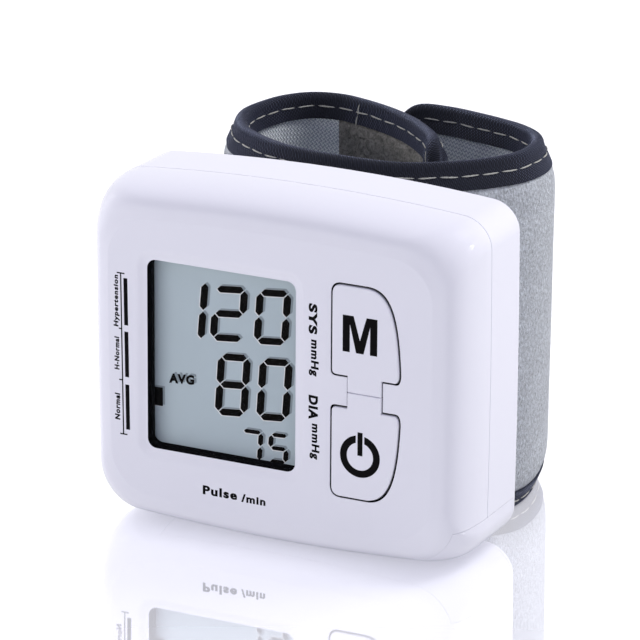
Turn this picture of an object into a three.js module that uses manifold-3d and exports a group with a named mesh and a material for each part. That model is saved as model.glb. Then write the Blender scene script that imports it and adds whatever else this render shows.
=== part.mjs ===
// A wrist blood pressure monitor, standing on its battery cover, millimetres, +Z up.
// The front panel faces -Y and the cuff stands behind the housing, wound on itself.
// Everything is drawn with y = 0 on the front panel and z = 0 on the foot; the group is then
// moved so that the origin lies in the middle of the whole outline.
import * as THREE from "three";
import { mergeVertices } from "three/addons/utils/BufferGeometryUtils.js";
import Module from "manifold-3d";

const wasm = await Module();
wasm.setup();

// Fits and cuts
const gap = 0.3; // between pieces that touch or slide
const softGap = 0.25; // between layers of the cuff
const overrun = 3; // how far a cutting tool runs past what it cuts

// Housing outline
const housingWidth = 76;
const housingHeight = 67.1;
const housingDepth = 26.5;
const footCut = 0.4; // the arched bottom is cut flat this deep
const wall = 1.8;
const cornerRadius = 5.5;
const topArch = 1.9; // how far the top and the bottom bulge
const sideArch = 0.3;
const backTaper = 0.2;
const backRounding = 1;
const seamDepth = 13.4; // the seam between the front and the rear casing

// Front panel, which is flat, and the rounding round it
const panelInsetX = 5.2;
const panelInsetZ = 4.2;
const panelCornerRadius = 18;
const frontRounding = 12.6;
const roundingPower = 1.5;
const frontRings = 6;
const cornerSteps = 6;
const sideSteps = 4;

// Window opening
const windowSideMargin = 13; // from the housing's left side
const windowTopMargin = 14.5; // from the housing's top
const windowKeyMargin = 7.5; // from the window to the keys
const windowRise = 1.9; // from the top of the battery bay
const windowCornerRadius = 1.8;
const bevelWidth = 2.2; // the soft dish round the opening
const bevelDepth = 0.3;
const lipThickness = 0.6;
const paneMargin = 1.85; // how far the pane reaches past the opening
const paneThickness = 1;
const gasketDepth = 1;
const gasketClearance = 0.3; // the gasket's opening is this much wider than the window

// Display
const lcdMarginX = 2.5;
const lcdMarginTop = 1.9;
const lcdDepth = 2.8;
const lcdHolderWall = 0.9;
const lcdHolderTail = 1.7; // how far the holder runs on behind the glass
const connectorHeight = 2;
const connectorMargin = 1.5;

// Keys
const splitRise = 0.2; // the keys meet this far above the housing's middle
const keySideMargin = 11.8; // from the housing's right side
const keyEndMargin = 13.45; // from the housing's top and bottom
const keyWidth = 13.4;
const keyNeckWidth = 6.8;
const keyNeckLeft = 3.15;
const keyNeckLength = 3.1;
const keyCornerRadius = 1.8;
const keyProud = 0.35;
const keyFlange = 0.9;
const keyFlangeDepth = 0.8;
const keyPress = 0.9; // the most that a key's far edge moves in
const keyBossRadius = 2;
const keyShoulderShare = 0.5; // where the straight far edge of a key ends
const keyBendShares = [0.04, 0.23, 0.84]; // handles of the curved side
const keyAimX = 6.5; // the switch behind a key, from the key's left edge
const keyAimInset = 8.6; // the switch behind a key, from the key's far edge
const retainerHeight = 5;
const retainerDepth = 1.2;
const retainerPostWidth = 2;

// Switches
const switchSize = 6;
const switchDepth = 3;
const plungerRadius = 1.4;
const plungerStandout = 0.8;
const plungerTravel = 0.5;
const plungerHold = 0.9; // length of the plunger inside its switch

// Circuit board
const boardSideMargin = 9.8; // from the housing's sides
const boardTopMargin = 6.1; // from the housing's top
const boardThickness = 1.2;
const chipSize = 10;
const chipThickness = 1.2;
const chipSideMargin = 9.2; // from the board's right edge
const chipRise = 4.8; // from the board's bottom edge
const boardBossRadius = 2;
const boardBossHole = 1.15;
const boardScrewRadius = 0.9;
const boardScrewHeadRadius = 1.8;
const boardScrewHead = 0.9;
const boardScrewLength = 4;
const boardScrewDrop = 2.4; // below the board's top edge

// Casing screws
const screwSideMargin = 6.5; // from the housing's sides
const screwTopMargin = 9.1; // from the housing's top
const screwRise = 3.7; // from the top of the battery bay
const screwRadius = 1;
const screwHeadRadius = 1.9;
const screwHeadLength = 1.7;
const screwWellRadius = 2.2;
const screwFloor = 2.3;
const screwBite = 5.5; // how far the screw runs into the front boss
const frontBossRadius = 2.6;
const rearBossRadius = 2.9;
const screwHoleRadius = 1.3;

// Batteries and their bay
const cellRadius = 5.25;
const cellLength = 44.5;
const cellButtonRadius = 1.9;
const cellButtonLength = 0.8;
const cellBackRoom = 0.15; // from the rear cell to the back wall
const coverThickness = 1.9; // from the foot to the bay's floor
const bayRoofThickness = 0.9;
const bayWall = 1.2;
const contactThickness = 0.5;
const springRadius = 2.6;
const springTipRadius = 1.2;
const springLength = 1.9;
const contactWidth = 7;

// Battery cover
const coverSeamHeight = 8.6;
const coverFrontY = 2.6;
const coverBackMargin = 1.5; // from the housing's back
const coverLeft = -24;

// Pump
const motorRadius = 6.5;
const motorTopMargin = 11.1; // from the housing's top
const motorBackMargin = 8.9; // from the housing's back
const motorBossGap = 0.6; // from the motor to a casing screw's boss
const shaftRadius = 1;
const shaftBite = 4; // how far the shaft runs into the motor and into the pump head
const shaftClearance = 0.3;
const pumpHeadLength = 12;
const portRadius = 1.2;
const portLength = 4;
const tubeBore = 1.45;
const tubeRadius = 2.2;

// Valve
const valveRadius = 5;
const valveLength = 12;
const valveHeadGap = 7.7; // from the pump head to the valve
const valveBossGap = 4.6; // from the valve to a casing screw's boss
const valvePinRadius = 1;
const valvePinLength = 4;
const valvePinStandout = 1;
const valvePinTravel = 0.6;

// Manifold, sensor and the way to the cuff
const manifoldRadius = 2.4;
const manifoldDrop = 18; // below the motor's axis
const nozzleX = 8;
const nozzleBore = 0.6;
const sensorPlaceShares = [0.46, 0.573]; // from the board's lower left corner to the manifold
const sensorSize = 7;
const sensorThickness = 3;
const sensorPort = 2.7;
const sensorHoseShares = [0.35, 0.15, 0.5, 0.35, 0.2];
const sensorHoseSteps = 14;
const leadRadius = 0.6;
const leadDrop = 2.6;
const leadBow = 1.6;
const leadSteps = 8;

// Cuff
const cuffHeight = housingHeight;
const cuffThickness = 4;
const cuffHalfSpan = 30;
const cuffReach = 39; // from the middle line at the saddle to its rearmost place
const fleeceThickness = 0.8;
const stiffenerThickness = 0.8;
const liningThickness = 0.8;
const tapeThickness = 0.35;
const tapeWidth = 5.6;
const tapeWeb = 0.7; // over the edge of the layers
const edgeInset = 0.3; // from the tape's web to the layers inside it
const bladderMargin = 9; // from the top and bottom edges and from the ends
const hookPatchThickness = 0.8;
const hookPatchLength = 37;
const hookEndLength = 79;
const wrapEndLength = 31;
const cuffSteps = 28;
const hookEndSteps = 22;
const wrapEndSteps = 10;
const tipSteps = 3;

// The cuff's middle line at its top edge, from the hook end's tip round to the wrap end's tip:
// shares of the half span and of the reach.
const cuffLineShares = [
  [0.453, 0.192],
  [0.413, 0.279],
  [0.32, 0.403],
  [0.193, 0.536],
  [0.057, 0.649],
  [-0.083, 0.741],
  [-0.283, 0.833],
  [-0.483, 0.897],
  [-0.65, 0.936],
  [-0.82, 0.913],
  [-0.943, 0.813],
  [-1.007, 0.672],
  [-1.027, 0.541],
  [-1.0, 0.426],
  [-0.957, 0.346],
  [-0.887, 0.246],
  [-0.76, 0.156],
  [-0.51, 0.054],
  [-0.23, 0.008],
  [0, 0],
  [0.2, 0.005],
  [0.367, 0.031],
  [0.567, 0.12],
  [0.76, 0.259],
  [0.893, 0.413],
  [0.933, 0.556],
  [0.91, 0.685],
  [0.807, 0.813],
  [0.653, 0.895],
  [0.467, 0.941],
  [0.283, 0.972],
  [0.1, 0.992],
  [-0.05, 0.982],
  [-0.15, 0.941],
];
// How far the bottom edge leans out from the top edge, from this place of the line on.
const leanStart = 20;
const leanShares = [
  [0, -0.005],
  [0.033, -0.028],
  [0.066, -0.087],
  [0.08, -0.154],
  [0.08, -0.185],
  [0.064, -0.218],
  [0.05, -0.15],
];

// Saddle between the housing and the cuff
const saddleThickness = 1.3;
const saddleWidth = 30;
const saddleBottom = 13;
const saddleTopMargin = 14.1; // from the cuff's top edge
const postRadius = 2;
const postHeadRadius = 2.8;
const postHeadLength = 1.5;
const postSpreadX = 11;
const postInset = 8.5; // from the saddle's top and bottom edges

// Tessellation of round pieces
const fineSides = 24;
const roundSides = 16;
const smallSides = 10;

// Places that follow from the sizes above
const centreZ = housingHeight / 2 - footCut;
const housingTop = housingHeight - footCut;
const splitHeight = centreZ + splitRise;
const keyLeft = housingWidth / 2 - keySideMargin - keyWidth;
const keyReach = housingHeight / 2 - keyEndMargin; // from the split to a key's far edge
const keyAimReach = keyReach - keyAimInset;
const paneFront = lipThickness + gap;
const paneBack = paneFront + paneThickness;
const gasketFront = Math.max(paneBack, wall) + gap;
const lcdFront = gasketFront + gasketDepth + gap;
const lcdBack = lcdFront + lcdDepth;
const boardFront = lcdBack + lcdHolderTail + gap;
const boardBack = boardFront + boardThickness;
const behindBoard = boardBack + gap;
const cellZ = coverThickness + gap + cellRadius;
const backInner = housingDepth - wall;
const cellRearY = backInner - cellBackRoom - cellRadius;
const cellFrontY = cellRearY - 2 * cellRadius - gap;
const bayInner = cellLength / 2 + gap + springLength + gap + contactThickness + gap;
const bayRoof = cellZ + cellRadius + gap;
const bayTop = bayRoof + bayRoofThickness;
const lcdBottom = bayTop + gap + lcdHolderWall + gap;
const windowLeft = windowSideMargin - housingWidth / 2;
const windowRight = keyLeft - windowKeyMargin;
const windowBottom = bayTop + windowRise;
const windowTop = housingTop - windowTopMargin;
const lcdTop = windowTop + lcdMarginTop;
const boardBottom = bayTop + gap;
const boardTop = housingTop - boardTopMargin;
const boardRight = housingWidth / 2 - boardSideMargin;
const keyFlangeFront = wall + gap;
const keyFlangeBack = keyFlangeFront + keyFlangeDepth;
const switchBack = boardFront - gap;
const switchFront = switchBack - switchDepth;
const plungerTop = switchFront - plungerStandout;
const keyBossEnd = plungerTop - gap;
const keyAimAbsoluteX = keyLeft + keyAimX;
const coverBackY = housingDepth - coverBackMargin;
const screwSpreadX = housingWidth / 2 - screwSideMargin;
const screwTop = housingTop - screwTopMargin;
const screwBottom = bayTop + screwRise;
// The pump and the valve stand in a row between the bosses of the two upper casing screws.
const bossSide = screwSpreadX - rearBossRadius;
const motorY = housingDepth - motorBackMargin;
const motorZ = housingTop - motorTopMargin;
const manifoldZ = motorZ - manifoldDrop;
const motorLeft = motorBossGap - bossSide;
const valveLeft = bossSide - valveBossGap - valveLength;
const motorRight = valveLeft - valveHeadGap - pumpHeadLength - gap;
const headLeft = motorRight + gap;
const headRight = headLeft + pumpHeadLength;
const pumpPortX = (headLeft + headRight) / 2;
const valvePortX = valveLeft + valveLength / 2;
const saddleTop = cuffHeight - saddleTopMargin;

// Solids from three.js geometry

/** A solid from a closed three.js geometry. */
function solid(geometry) {
  const bare = geometry.clone();
  bare.deleteAttribute("normal");
  bare.deleteAttribute("uv");
  const merged = mergeVertices(bare, 1e-4);
  return new wasm.Manifold(
    new wasm.Mesh({
      numProp: 3,
      vertProperties: new Float32Array(merged.attributes.position.array),
      triVerts: new Uint32Array(merged.index.array),
    }),
  );
}

/** A three.js geometry from a solid. */
function geometryOf(body) {
  const mesh = body.getMesh();
  const geometry = new THREE.BufferGeometry();
  geometry.setAttribute("position", new THREE.BufferAttribute(mesh.vertProperties, 3));
  geometry.setIndex(new THREE.BufferAttribute(mesh.triVerts, 1));
  geometry.computeVertexNormals();
  return geometry;
}

/** A box between two corners. */
function box(x0, x1, y0, y1, z0, z1) {
  const geometry = new THREE.BoxGeometry(x1 - x0, y1 - y0, z1 - z0);
  geometry.translate((x0 + x1) / 2, (y0 + y1) / 2, (z0 + z1) / 2);
  return solid(geometry);
}

/** A rod along X, Y or Z from `from` to `to`, through the place given by the other two. */
function rod(axis, radius, from, to, place, sides = roundSides) {
  const geometry = new THREE.CylinderGeometry(radius, radius, to - from, sides);
  return solid(layAlong(axis, geometry, (from + to) / 2, place));
}

/** A cone frustum along an axis. */
function cone(axis, startRadius, endRadius, from, to, place, sides = roundSides) {
  const geometry = new THREE.CylinderGeometry(endRadius, startRadius, to - from, sides);
  return solid(layAlong(axis, geometry, (from + to) / 2, place));
}

/** Turns a geometry that stands along its own Y to lie along an axis, and moves it. */
function layAlong(axis, geometry, middle, place) {
  if (axis === "x") {
    geometry.rotateZ(-Math.PI / 2);
    geometry.translate(middle, place[0], place[1]);
  } else if (axis === "z") {
    geometry.rotateX(Math.PI / 2);
    geometry.translate(place[0], place[1], middle);
  } else {
    geometry.translate(place[0], middle, place[1]);
  }
  return geometry;
}

/** A slab with its outline in X and Z, from y0 to y1. */
function slab(shape, y0, y1, curveSteps = cornerSteps) {
  const geometry = new THREE.ExtrudeGeometry(shape, {
    depth: y1 - y0,
    bevelEnabled: false,
    curveSegments: curveSteps,
  });
  geometry.rotateX(Math.PI / 2);
  geometry.translate(0, y1, 0);
  return solid(geometry);
}

/** A rectangle with round corners as a shape. */
function roundedRectangle(x0, x1, z0, z1, radius) {
  const shape = new THREE.Shape();
  shape.moveTo(x0 + radius, z0);
  shape.lineTo(x1 - radius, z0);
  shape.absarc(x1 - radius, z0 + radius, radius, -Math.PI / 2, 0);
  shape.absarc(x1 - radius, z1 - radius, radius, 0, Math.PI / 2);
  shape.absarc(x0 + radius, z1 - radius, radius, Math.PI / 2, Math.PI);
  shape.absarc(x0 + radius, z0 + radius, radius, Math.PI, 1.5 * Math.PI);
  return shape;
}

/** A closed skin over rings of points, with a fan over each end. */
function loft(rings) {
  const count = rings[0].length;
  const points = rings.flat();
  const faces = [];
  for (let ring = 0; ring + 1 < rings.length; ring += 1) {
    for (let i = 0; i < count; i += 1) {
      const a = ring * count + i;
      const b = ring * count + ((i + 1) % count);
      faces.push(a, b, b + count, a, b + count, a + count);
    }
  }
  const first = middleOf(rings[0]);
  const last = middleOf(rings[rings.length - 1]);
  points.push(first, last);
  for (let i = 0; i < count; i += 1) {
    const next = (i + 1) % count;
    const end = (rings.length - 1) * count;
    faces.push(next, i, points.length - 2);
    faces.push(end + i, end + next, points.length - 1);
  }
  return solid(facingOut(points, faces));
}

/** The middle of a ring of points. */
function middleOf(ring) {
  const middle = new THREE.Vector3();
  ring.forEach((point) => middle.add(point));
  return middle.divideScalar(ring.length);
}

/** A geometry whose faces point outwards, whichever way round its rings were given. */
function facingOut(points, faces) {
  let volume = 0;
  const across = new THREE.Vector3();
  for (let i = 0; i < faces.length; i += 3) {
    across.crossVectors(points[faces[i + 1]], points[faces[i + 2]]);
    volume += points[faces[i]].dot(across);
  }
  const geometry = new THREE.BufferGeometry().setFromPoints(points);
  geometry.setIndex(volume < 0 ? faces.slice().reverse() : faces);
  return geometry;
}

/** A tube with a bore along a path of chosen points. */
function tube(points, outer, bore, steps) {
  const section = new THREE.Shape();
  section.absarc(0, 0, outer, 0, 2 * Math.PI);
  if (bore > 0) {
    const hole = new THREE.Path();
    hole.absarc(0, 0, bore, 0, 2 * Math.PI);
    section.holes.push(hole);
  }
  const path = new THREE.CatmullRomCurve3(points.map((point) => new THREE.Vector3(...point)));
  return solid(
    new THREE.ExtrudeGeometry(section, {
      extrudePath: path,
      steps,
      curveSegments: smallSides / 2,
    }),
  );
}

// Assembly
const monitor = new THREE.Group();
monitor.name = "wrist_blood_pressure_monitor";

/** A finish for one piece. */
function finish(color, roughness, metalness = 0) {
  return new THREE.MeshStandardMaterial({ color, roughness, metalness });
}

const whiteShell = finish(0xe9e9f4, 0.3);
const clearPane = finish(0xdfe6e8, 0.08);
const blackFoam = finish(0x15161a, 0.8);
const lcdGlass = finish(0xa3b1b8, 0.2);
const creamPlastic = finish(0xd8d4c4, 0.5);
const boardGreen = finish(0x1f5b3a, 0.5);
const chipBlack = finish(0x1b1b1d, 0.5);
const steel = finish(0xb8bcc2, 0.3, 1);
const brass = finish(0xc9a75a, 0.35, 1);
const siliconeTube = finish(0xd9dcd8, 0.5);
const cellGreen = finish(0x3f7f5a, 0.4);
const copperLead = finish(0x8c2f22, 0.5);
const greyFleece = finish(0xaeb3b8, 0.95);
const blueLining = finish(0x7f8794, 0.85);
const darkTape = finish(0x2b2d38, 0.8);
const darkPile = finish(0x44463f, 0.95);
const bladderGrey = finish(0x8d9094, 0.6);
const stiffenerWhite = finish(0xd0d0cc, 0.45);

/** Adds a solid to the group as a named piece. */
function addPiece(name, body, material) {
  const mesh = new THREE.Mesh(geometryOf(body), material);
  mesh.name = name;
  monitor.add(mesh);
}

// Housing shell

/** A ring of the housing at depth y, `inset` inside it; `rounding` is 1 at the panel and 0 behind it. */
function housingRing(y, inset, rounding, extraInset = 0) {
  const halfWidth = housingWidth / 2 - inset - panelInsetX * rounding - extraInset;
  const halfHeight = housingHeight / 2 - inset - panelInsetZ * rounding - extraInset;
  const outlineRadius = cornerRadius + (panelCornerRadius - cornerRadius) * rounding;
  const radius = Math.max(outlineRadius - inset - extraInset, gap);
  const corners = [];
  for (let quarter = 0; quarter < 4; quarter += 1) {
    const signX = quarter === 0 || quarter === 3 ? 1 : -1;
    const signZ = quarter < 2 ? 1 : -1;
    const arc = [];
    for (let step = 0; step <= cornerSteps; step += 1) {
      const angle = ((quarter + step / cornerSteps) * Math.PI) / 2;
      const x = signX * (halfWidth - radius) + radius * Math.cos(angle);
      const z = signZ * (halfHeight - radius) + radius * Math.sin(angle);
      arc.push([x, z]);
    }
    corners.push(arc);
  }
  const flat = [];
  corners.forEach((arc, quarter) => {
    flat.push(...arc);
    const end = arc[arc.length - 1];
    const next = corners[(quarter + 1) % 4][0];
    for (let step = 1; step < sideSteps; step += 1) {
      const share = step / sideSteps;
      flat.push([end[0] + (next[0] - end[0]) * share, end[1] + (next[1] - end[1]) * share]);
    }
  });
  return flat.map(([x, z]) => {
    const shareX = x / (housingWidth / 2);
    const shareZ = z / (housingHeight / 2);
    const bulgedX = x - sideArch * shareZ * shareZ * shareX;
    const bulgedZ = z - topArch * shareX * shareX * shareZ;
    return new THREE.Vector3(bulgedX, y, bulgedZ + centreZ);
  });
}

/** The housing's outside, or the surface `inset` inside it. */
function housingSolid(inset) {
  const rings = [];
  for (let step = 0; step <= frontRings; step += 1) {
    const angle = ((step / frontRings) * Math.PI) / 2;
    const depthShare = (1 - Math.cos(angle)) ** roundingPower;
    const y = inset + (frontRounding - inset) * depthShare;
    rings.push(housingRing(y, inset, 1 - Math.sin(angle)));
  }
  const back = housingDepth - inset;
  rings.push(housingRing(back - backRounding, inset, 0, backTaper));
  rings.push(housingRing(back, inset, 0, backTaper + backRounding));
  return loft(rings);
}

const outside = housingSolid(0);
const hollow = housingSolid(wall);
const cavity = housingSolid(wall + gap);
const farX = housingWidth / 2 + overrun;
const farY = housingDepth + overrun;
const farZ = housingHeight + overrun;
const footTool = box(-farX, farX, -overrun, farY, -farZ, 0);
const shell = outside.subtract(hollow).subtract(footTool);

/** The space of the battery cover, `clearance` larger or smaller on its seams. */
function coverSpace(clearance) {
  return box(
    coverLeft - clearance,
    farX,
    coverFrontY - clearance,
    coverBackY + clearance,
    -farZ,
    coverSeamHeight + clearance,
  );
}

const coverOpening = coverSpace(gap / 2);
const screwPlaces = [
  [-screwSpreadX, screwTop],
  [screwSpreadX, screwTop],
  [-screwSpreadX, screwBottom],
  [screwSpreadX, screwBottom],
];
const screwFloorY = seamDepth + gap / 2 + screwFloor;
const boardScrewZ = boardTop - boardScrewDrop;
const boardScrewPlaces = [(windowLeft + windowRight) / 2, keyAimAbsoluteX];

// Window and display
/** A rounded rectangle that follows the window opening, `margin` larger all round. */
function windowOutline(margin) {
  return roundedRectangle(
    windowLeft - margin,
    windowRight + margin,
    windowBottom - margin,
    windowTop + margin,
    windowCornerRadius + Math.max(margin, 0) / 2,
  );
}

/** The points of the window outline as a ring at depth y. */
function windowRing(margin, y) {
  const points = windowOutline(margin).getPoints(cornerSteps);
  return points.map((point) => new THREE.Vector3(point.x, y, point.y));
}

/** The dished edge of the window opening. */
function windowBevel() {
  const rise = overrun * (bevelWidth / bevelDepth);
  return loft([windowRing(bevelWidth + rise, -overrun), windowRing(0, bevelDepth)]);
}

// Key outlines

/** A key's outline from the split line, `grow` larger; `up` is 1 for the upper key and -1 for the lower. */
function keyShape(up, grow, splitGap) {
  const left = keyLeft - grow;
  const right = keyLeft + keyWidth + grow;
  const neckLeft = keyLeft + keyNeckLeft - grow;
  const neckRight = keyLeft + keyNeckLeft + keyNeckWidth + grow;
  const bottom = keyNeckLength - grow;
  const top = keyReach + grow;
  const radius = keyCornerRadius + grow;
  const z = (reach) => splitHeight + up * reach;
  const shape = new THREE.Shape();
  shape.moveTo(neckRight, z(splitGap));
  shape.lineTo(neckRight, z(bottom));
  shape.lineTo(right - radius / 2, z(bottom));
  shape.quadraticCurveTo(right, z(bottom), right, z(bottom + radius));
  shape.bezierCurveTo(
    right - keyWidth * keyBendShares[0],
    z(top - keyReach * keyBendShares[1]),
    keyLeft + keyWidth * keyBendShares[2] + grow,
    z(top),
    keyLeft + keyWidth * keyShoulderShare + grow / 2,
    z(top),
  );
  shape.lineTo(left + radius, z(top));
  shape.quadraticCurveTo(left, z(top), left, z(top - radius));
  shape.lineTo(left, z(bottom + radius / 2));
  shape.quadraticCurveTo(left, z(bottom), left + radius / 2, z(bottom));
  shape.lineTo(neckLeft, z(bottom));
  shape.lineTo(neckLeft, z(splitGap));
  return shape;
}

/** One key: plate, flange behind the wall and the boss that presses its switch. */
function makeKey(up) {
  const plate = slab(keyShape(up, 0, gap / 2), -keyProud, keyFlangeFront + keyFlangeDepth / 2);
  const flange = slab(keyShape(up, keyFlange, gap / 2), keyFlangeFront, keyFlangeBack);
  const aimZ = splitHeight + up * keyAimReach;
  const boss = rod("y", keyBossRadius, keyFlangeFront, keyBossEnd, [keyAimAbsoluteX, aimZ]);
  return plate.add(flange).add(boss);
}

/** The opening for one key through the front wall. */
function keyOpening(up) {
  return slab(keyShape(up, gap, -gap), -overrun, wall + overrun);
}

// Casings and cover

/** The four bosses for the casing screws. */
function screwBosses(radius, from, to) {
  const bosses = screwPlaces.map((place) => rod("y", radius, from, to, place));
  return bosses.reduce((all, boss) => all.add(boss));
}

/** The front casing, with its window, key openings and screw bosses. */
function makeFrontCasing() {
  const edge = seamDepth - gap / 2;
  const half = box(-farX, farX, -overrun, edge, 0, farZ);
  const boardBosses = boardScrewPlaces
    .map((x) => rod("y", boardBossRadius, wall / 2, boardFront - gap, [x, boardScrewZ]))
    .reduce((all, boss) => all.add(boss));
  const pocketMargin = paneMargin + gap;
  const pocket = slab(windowOutline(pocketMargin), lipThickness, wall + gap);
  let body = shell.add(screwBosses(frontBossRadius, 0, edge).intersect(outside));
  body = body.add(boardBosses).intersect(half).subtract(coverOpening);
  body = body.subtract(screwBosses(screwHoleRadius, seamDepth - screwBite - gap, farY));
  boardScrewPlaces.forEach((x) => {
    const hole = [x, boardScrewZ];
    body = body.subtract(rod("y", boardBossHole, boardFront - boardScrewLength, farY, hole, smallSides));
  });
  body = body.subtract(slab(windowOutline(0), -overrun, wall + overrun));
  body = body.subtract(windowBevel()).subtract(pocket);
  return body.subtract(keyOpening(1)).subtract(keyOpening(-1));
}

/** The moulded battery bay: a roof and two end walls on the back wall. */
function makeBay() {
  const outer = bayInner + bayWall;
  const back = housingDepth - wall / 2;
  const front = keyFlangeBack + keyPress + gap;
  const roof = box(-outer, outer, front, back, bayRoof, bayTop);
  const floor = coverThickness + gap;
  const left = box(-outer, -bayInner, front, back, floor, bayTop);
  const right = box(bayInner, outer, front, back, floor, bayTop);
  const behindSeam = box(-outer, outer, seamDepth + gap, farY, floor, bayTop);
  return roof.add(left).add(right).intersect(cavity.add(behindSeam));
}

/** The rear casing, with the battery bay, screw wells and the cuff's holes. */
function makeRearCasing() {
  const edge = seamDepth + gap / 2;
  const half = box(-farX, farX, edge, farY, 0, farZ);
  let body = shell.intersect(half);
  body = body.add(screwBosses(rearBossRadius, edge, farY).intersect(outside)).add(makeBay());
  body = body.subtract(screwBosses(screwHoleRadius, -overrun, farY));
  body = body.subtract(screwBosses(screwWellRadius, screwFloorY, farY));
  postPlaces.forEach((place) => {
    body = body.subtract(rod("y", postRadius + gap, backInner - overrun, farY, place));
  });
  const nozzleHole = [nozzleX, manifoldZ];
  body = body.subtract(rod("y", portRadius + gap, backInner - overrun, farY, nozzleHole, smallSides));
  return body.subtract(coverOpening).subtract(footTool);
}

/** The battery cover: the bottom and the lower right side of the shell. */
function makeBatteryCover() {
  const flatEnd = bayInner + bayWall + gap;
  const above = box(-farX, flatEnd, -overrun, farY, coverThickness, farZ);
  return shell.intersect(coverSpace(-gap / 2)).subtract(above);
}

const postPlaces = [];
[saddleBottom + postInset, saddleTop - postInset].forEach((z) => {
  [-postSpreadX, postSpreadX].forEach((x) => {
    postPlaces.push([x, z]);
  });
});

addPiece("front_casing", makeFrontCasing(), whiteShell);
addPiece("rear_casing", makeRearCasing(), whiteShell);
addPiece("battery_cover", makeBatteryCover(), whiteShell);

screwPlaces.forEach((place, index) => {
  const headStart = screwFloorY + gap;
  const shank = rod("y", screwRadius, seamDepth - screwBite, headStart + gap, place, smallSides);
  const head = rod("y", screwHeadRadius, headStart, headStart + screwHeadLength, place);
  addPiece(`casing_screw_${index + 1}`, shank.add(head), steel);
});

// Display stack

addPiece("display_window", slab(windowOutline(paneMargin), paneFront, paneBack), clearPane);

/** The black frame between the pane and the display. */
function makeGasket() {
  const frame = slab(windowOutline(paneMargin), gasketFront, gasketFront + gasketDepth);
  const hole = slab(windowOutline(gasketClearance), gasketFront - overrun, lcdFront);
  return frame.subtract(hole);
}

const lcdLeft = windowLeft - lcdMarginX;
const lcdRight = windowRight + lcdMarginX;
const holderReach = gap + lcdHolderWall;
addPiece("display_gasket", makeGasket(), blackFoam);
addPiece("lcd_panel", box(lcdLeft, lcdRight, lcdFront, lcdBack, lcdBottom, lcdTop), lcdGlass);

/** The plastic frame that holds the glass on the board. */
function makeLcdHolder() {
  const back = boardFront - gap;
  const holder = box(
    lcdLeft - holderReach,
    lcdRight + holderReach,
    lcdFront,
    back,
    lcdBottom - holderReach,
    lcdTop + holderReach,
  );
  return holder.subtract(
    box(lcdLeft - gap, lcdRight + gap, -overrun, farY, lcdBottom - gap, lcdTop + gap),
  );
}

addPiece("lcd_holder", makeLcdHolder(), creamPlastic);
addPiece(
  "lcd_connector",
  box(
    lcdLeft + connectorMargin,
    lcdRight - connectorMargin,
    lcdBack + gap,
    boardFront - gap,
    lcdBottom + gap,
    lcdBottom + gap + connectorHeight,
  ),
  blackFoam,
);

// Circuit board and what stands on it

/** The circuit board with its two screw holes. */
function makeBoard() {
  let board = box(-boardRight, boardRight, boardFront, boardBack, boardBottom, boardTop);
  boardScrewPlaces.forEach((x) => {
    board = board.subtract(rod("y", boardBossHole, -overrun, farY, [x, boardScrewZ], smallSides));
  });
  return board;
}

addPiece("circuit_board", makeBoard(), boardGreen);
addPiece(
  "controller_chip",
  box(
    boardRight - chipSideMargin - chipSize,
    boardRight - chipSideMargin,
    behindBoard,
    behindBoard + chipThickness,
    boardBottom + chipRise,
    boardBottom + chipRise + chipSize,
  ),
  chipBlack,
);

boardScrewPlaces.forEach((x, index) => {
  const place = [x, boardScrewZ];
  const tip = boardFront - boardScrewLength + gap;
  const shank = rod("y", boardScrewRadius, tip, behindBoard + gap, place, smallSides);
  const head = rod("y", boardScrewHeadRadius, behindBoard, behindBoard + boardScrewHead, place);
  addPiece(`board_screw_${index + 1}`, shank.add(head), steel);
});

// Keys, switches and the bar that holds the keys

addPiece("memory_key", makeKey(1), whiteShell);
addPiece("power_key", makeKey(-1), whiteShell);

/** The bar behind the necks of both keys. */
function makeRetainer() {
  const left = keyLeft - keyFlange - gap;
  const right = keyLeft + keyWidth + keyFlange + gap;
  const low = splitHeight - retainerHeight / 2;
  const high = splitHeight + retainerHeight / 2;
  const front = keyFlangeBack + gap;
  const back = front + retainerDepth;
  const bar = box(left - retainerPostWidth, right + retainerPostWidth, front, back, low, high);
  const leftPost = box(left - retainerPostWidth, left, wall + gap, back, low, high);
  const rightPost = box(right, right + retainerPostWidth, wall + gap, back, low, high);
  return bar.add(leftPost).add(rightPost);
}

addPiece("key_retainer", makeRetainer(), creamPlastic);

[
  ["memory", 1],
  ["power", -1],
].forEach(([name, up]) => {
  const z = splitHeight + up * keyAimReach;
  const x = keyAimAbsoluteX;
  const half = switchSize / 2;
  const place = [x, z];
  const boreEnd = switchFront + plungerHold + plungerTravel + gap;
  const body = box(x - half, x + half, switchFront, switchBack, z - half, z + half);
  const bore = rod("y", plungerRadius + gap, switchFront - overrun, boreEnd, place);
  addPiece(`${name}_switch`, body.subtract(bore), chipBlack);
  const plunger = rod("y", plungerRadius, plungerTop, switchFront + plungerHold, place);
  addPiece(`${name}_switch_plunger`, plunger, creamPlastic);
});

// Batteries and contacts

/** One cell; `facing` is 1 with its button to the right and -1 to the left. */
function makeCell(y, facing) {
  const end = (facing * cellLength) / 2;
  const shoulder = end - facing * cellButtonLength;
  const place = [y, cellZ];
  const body = rod("x", cellRadius, Math.min(-end, shoulder), Math.max(-end, shoulder), place, fineSides);
  const start = shoulder - facing * gap;
  const button = rod("x", cellButtonRadius, Math.min(start, end), Math.max(start, end), place);
  return body.add(button);
}

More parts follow.
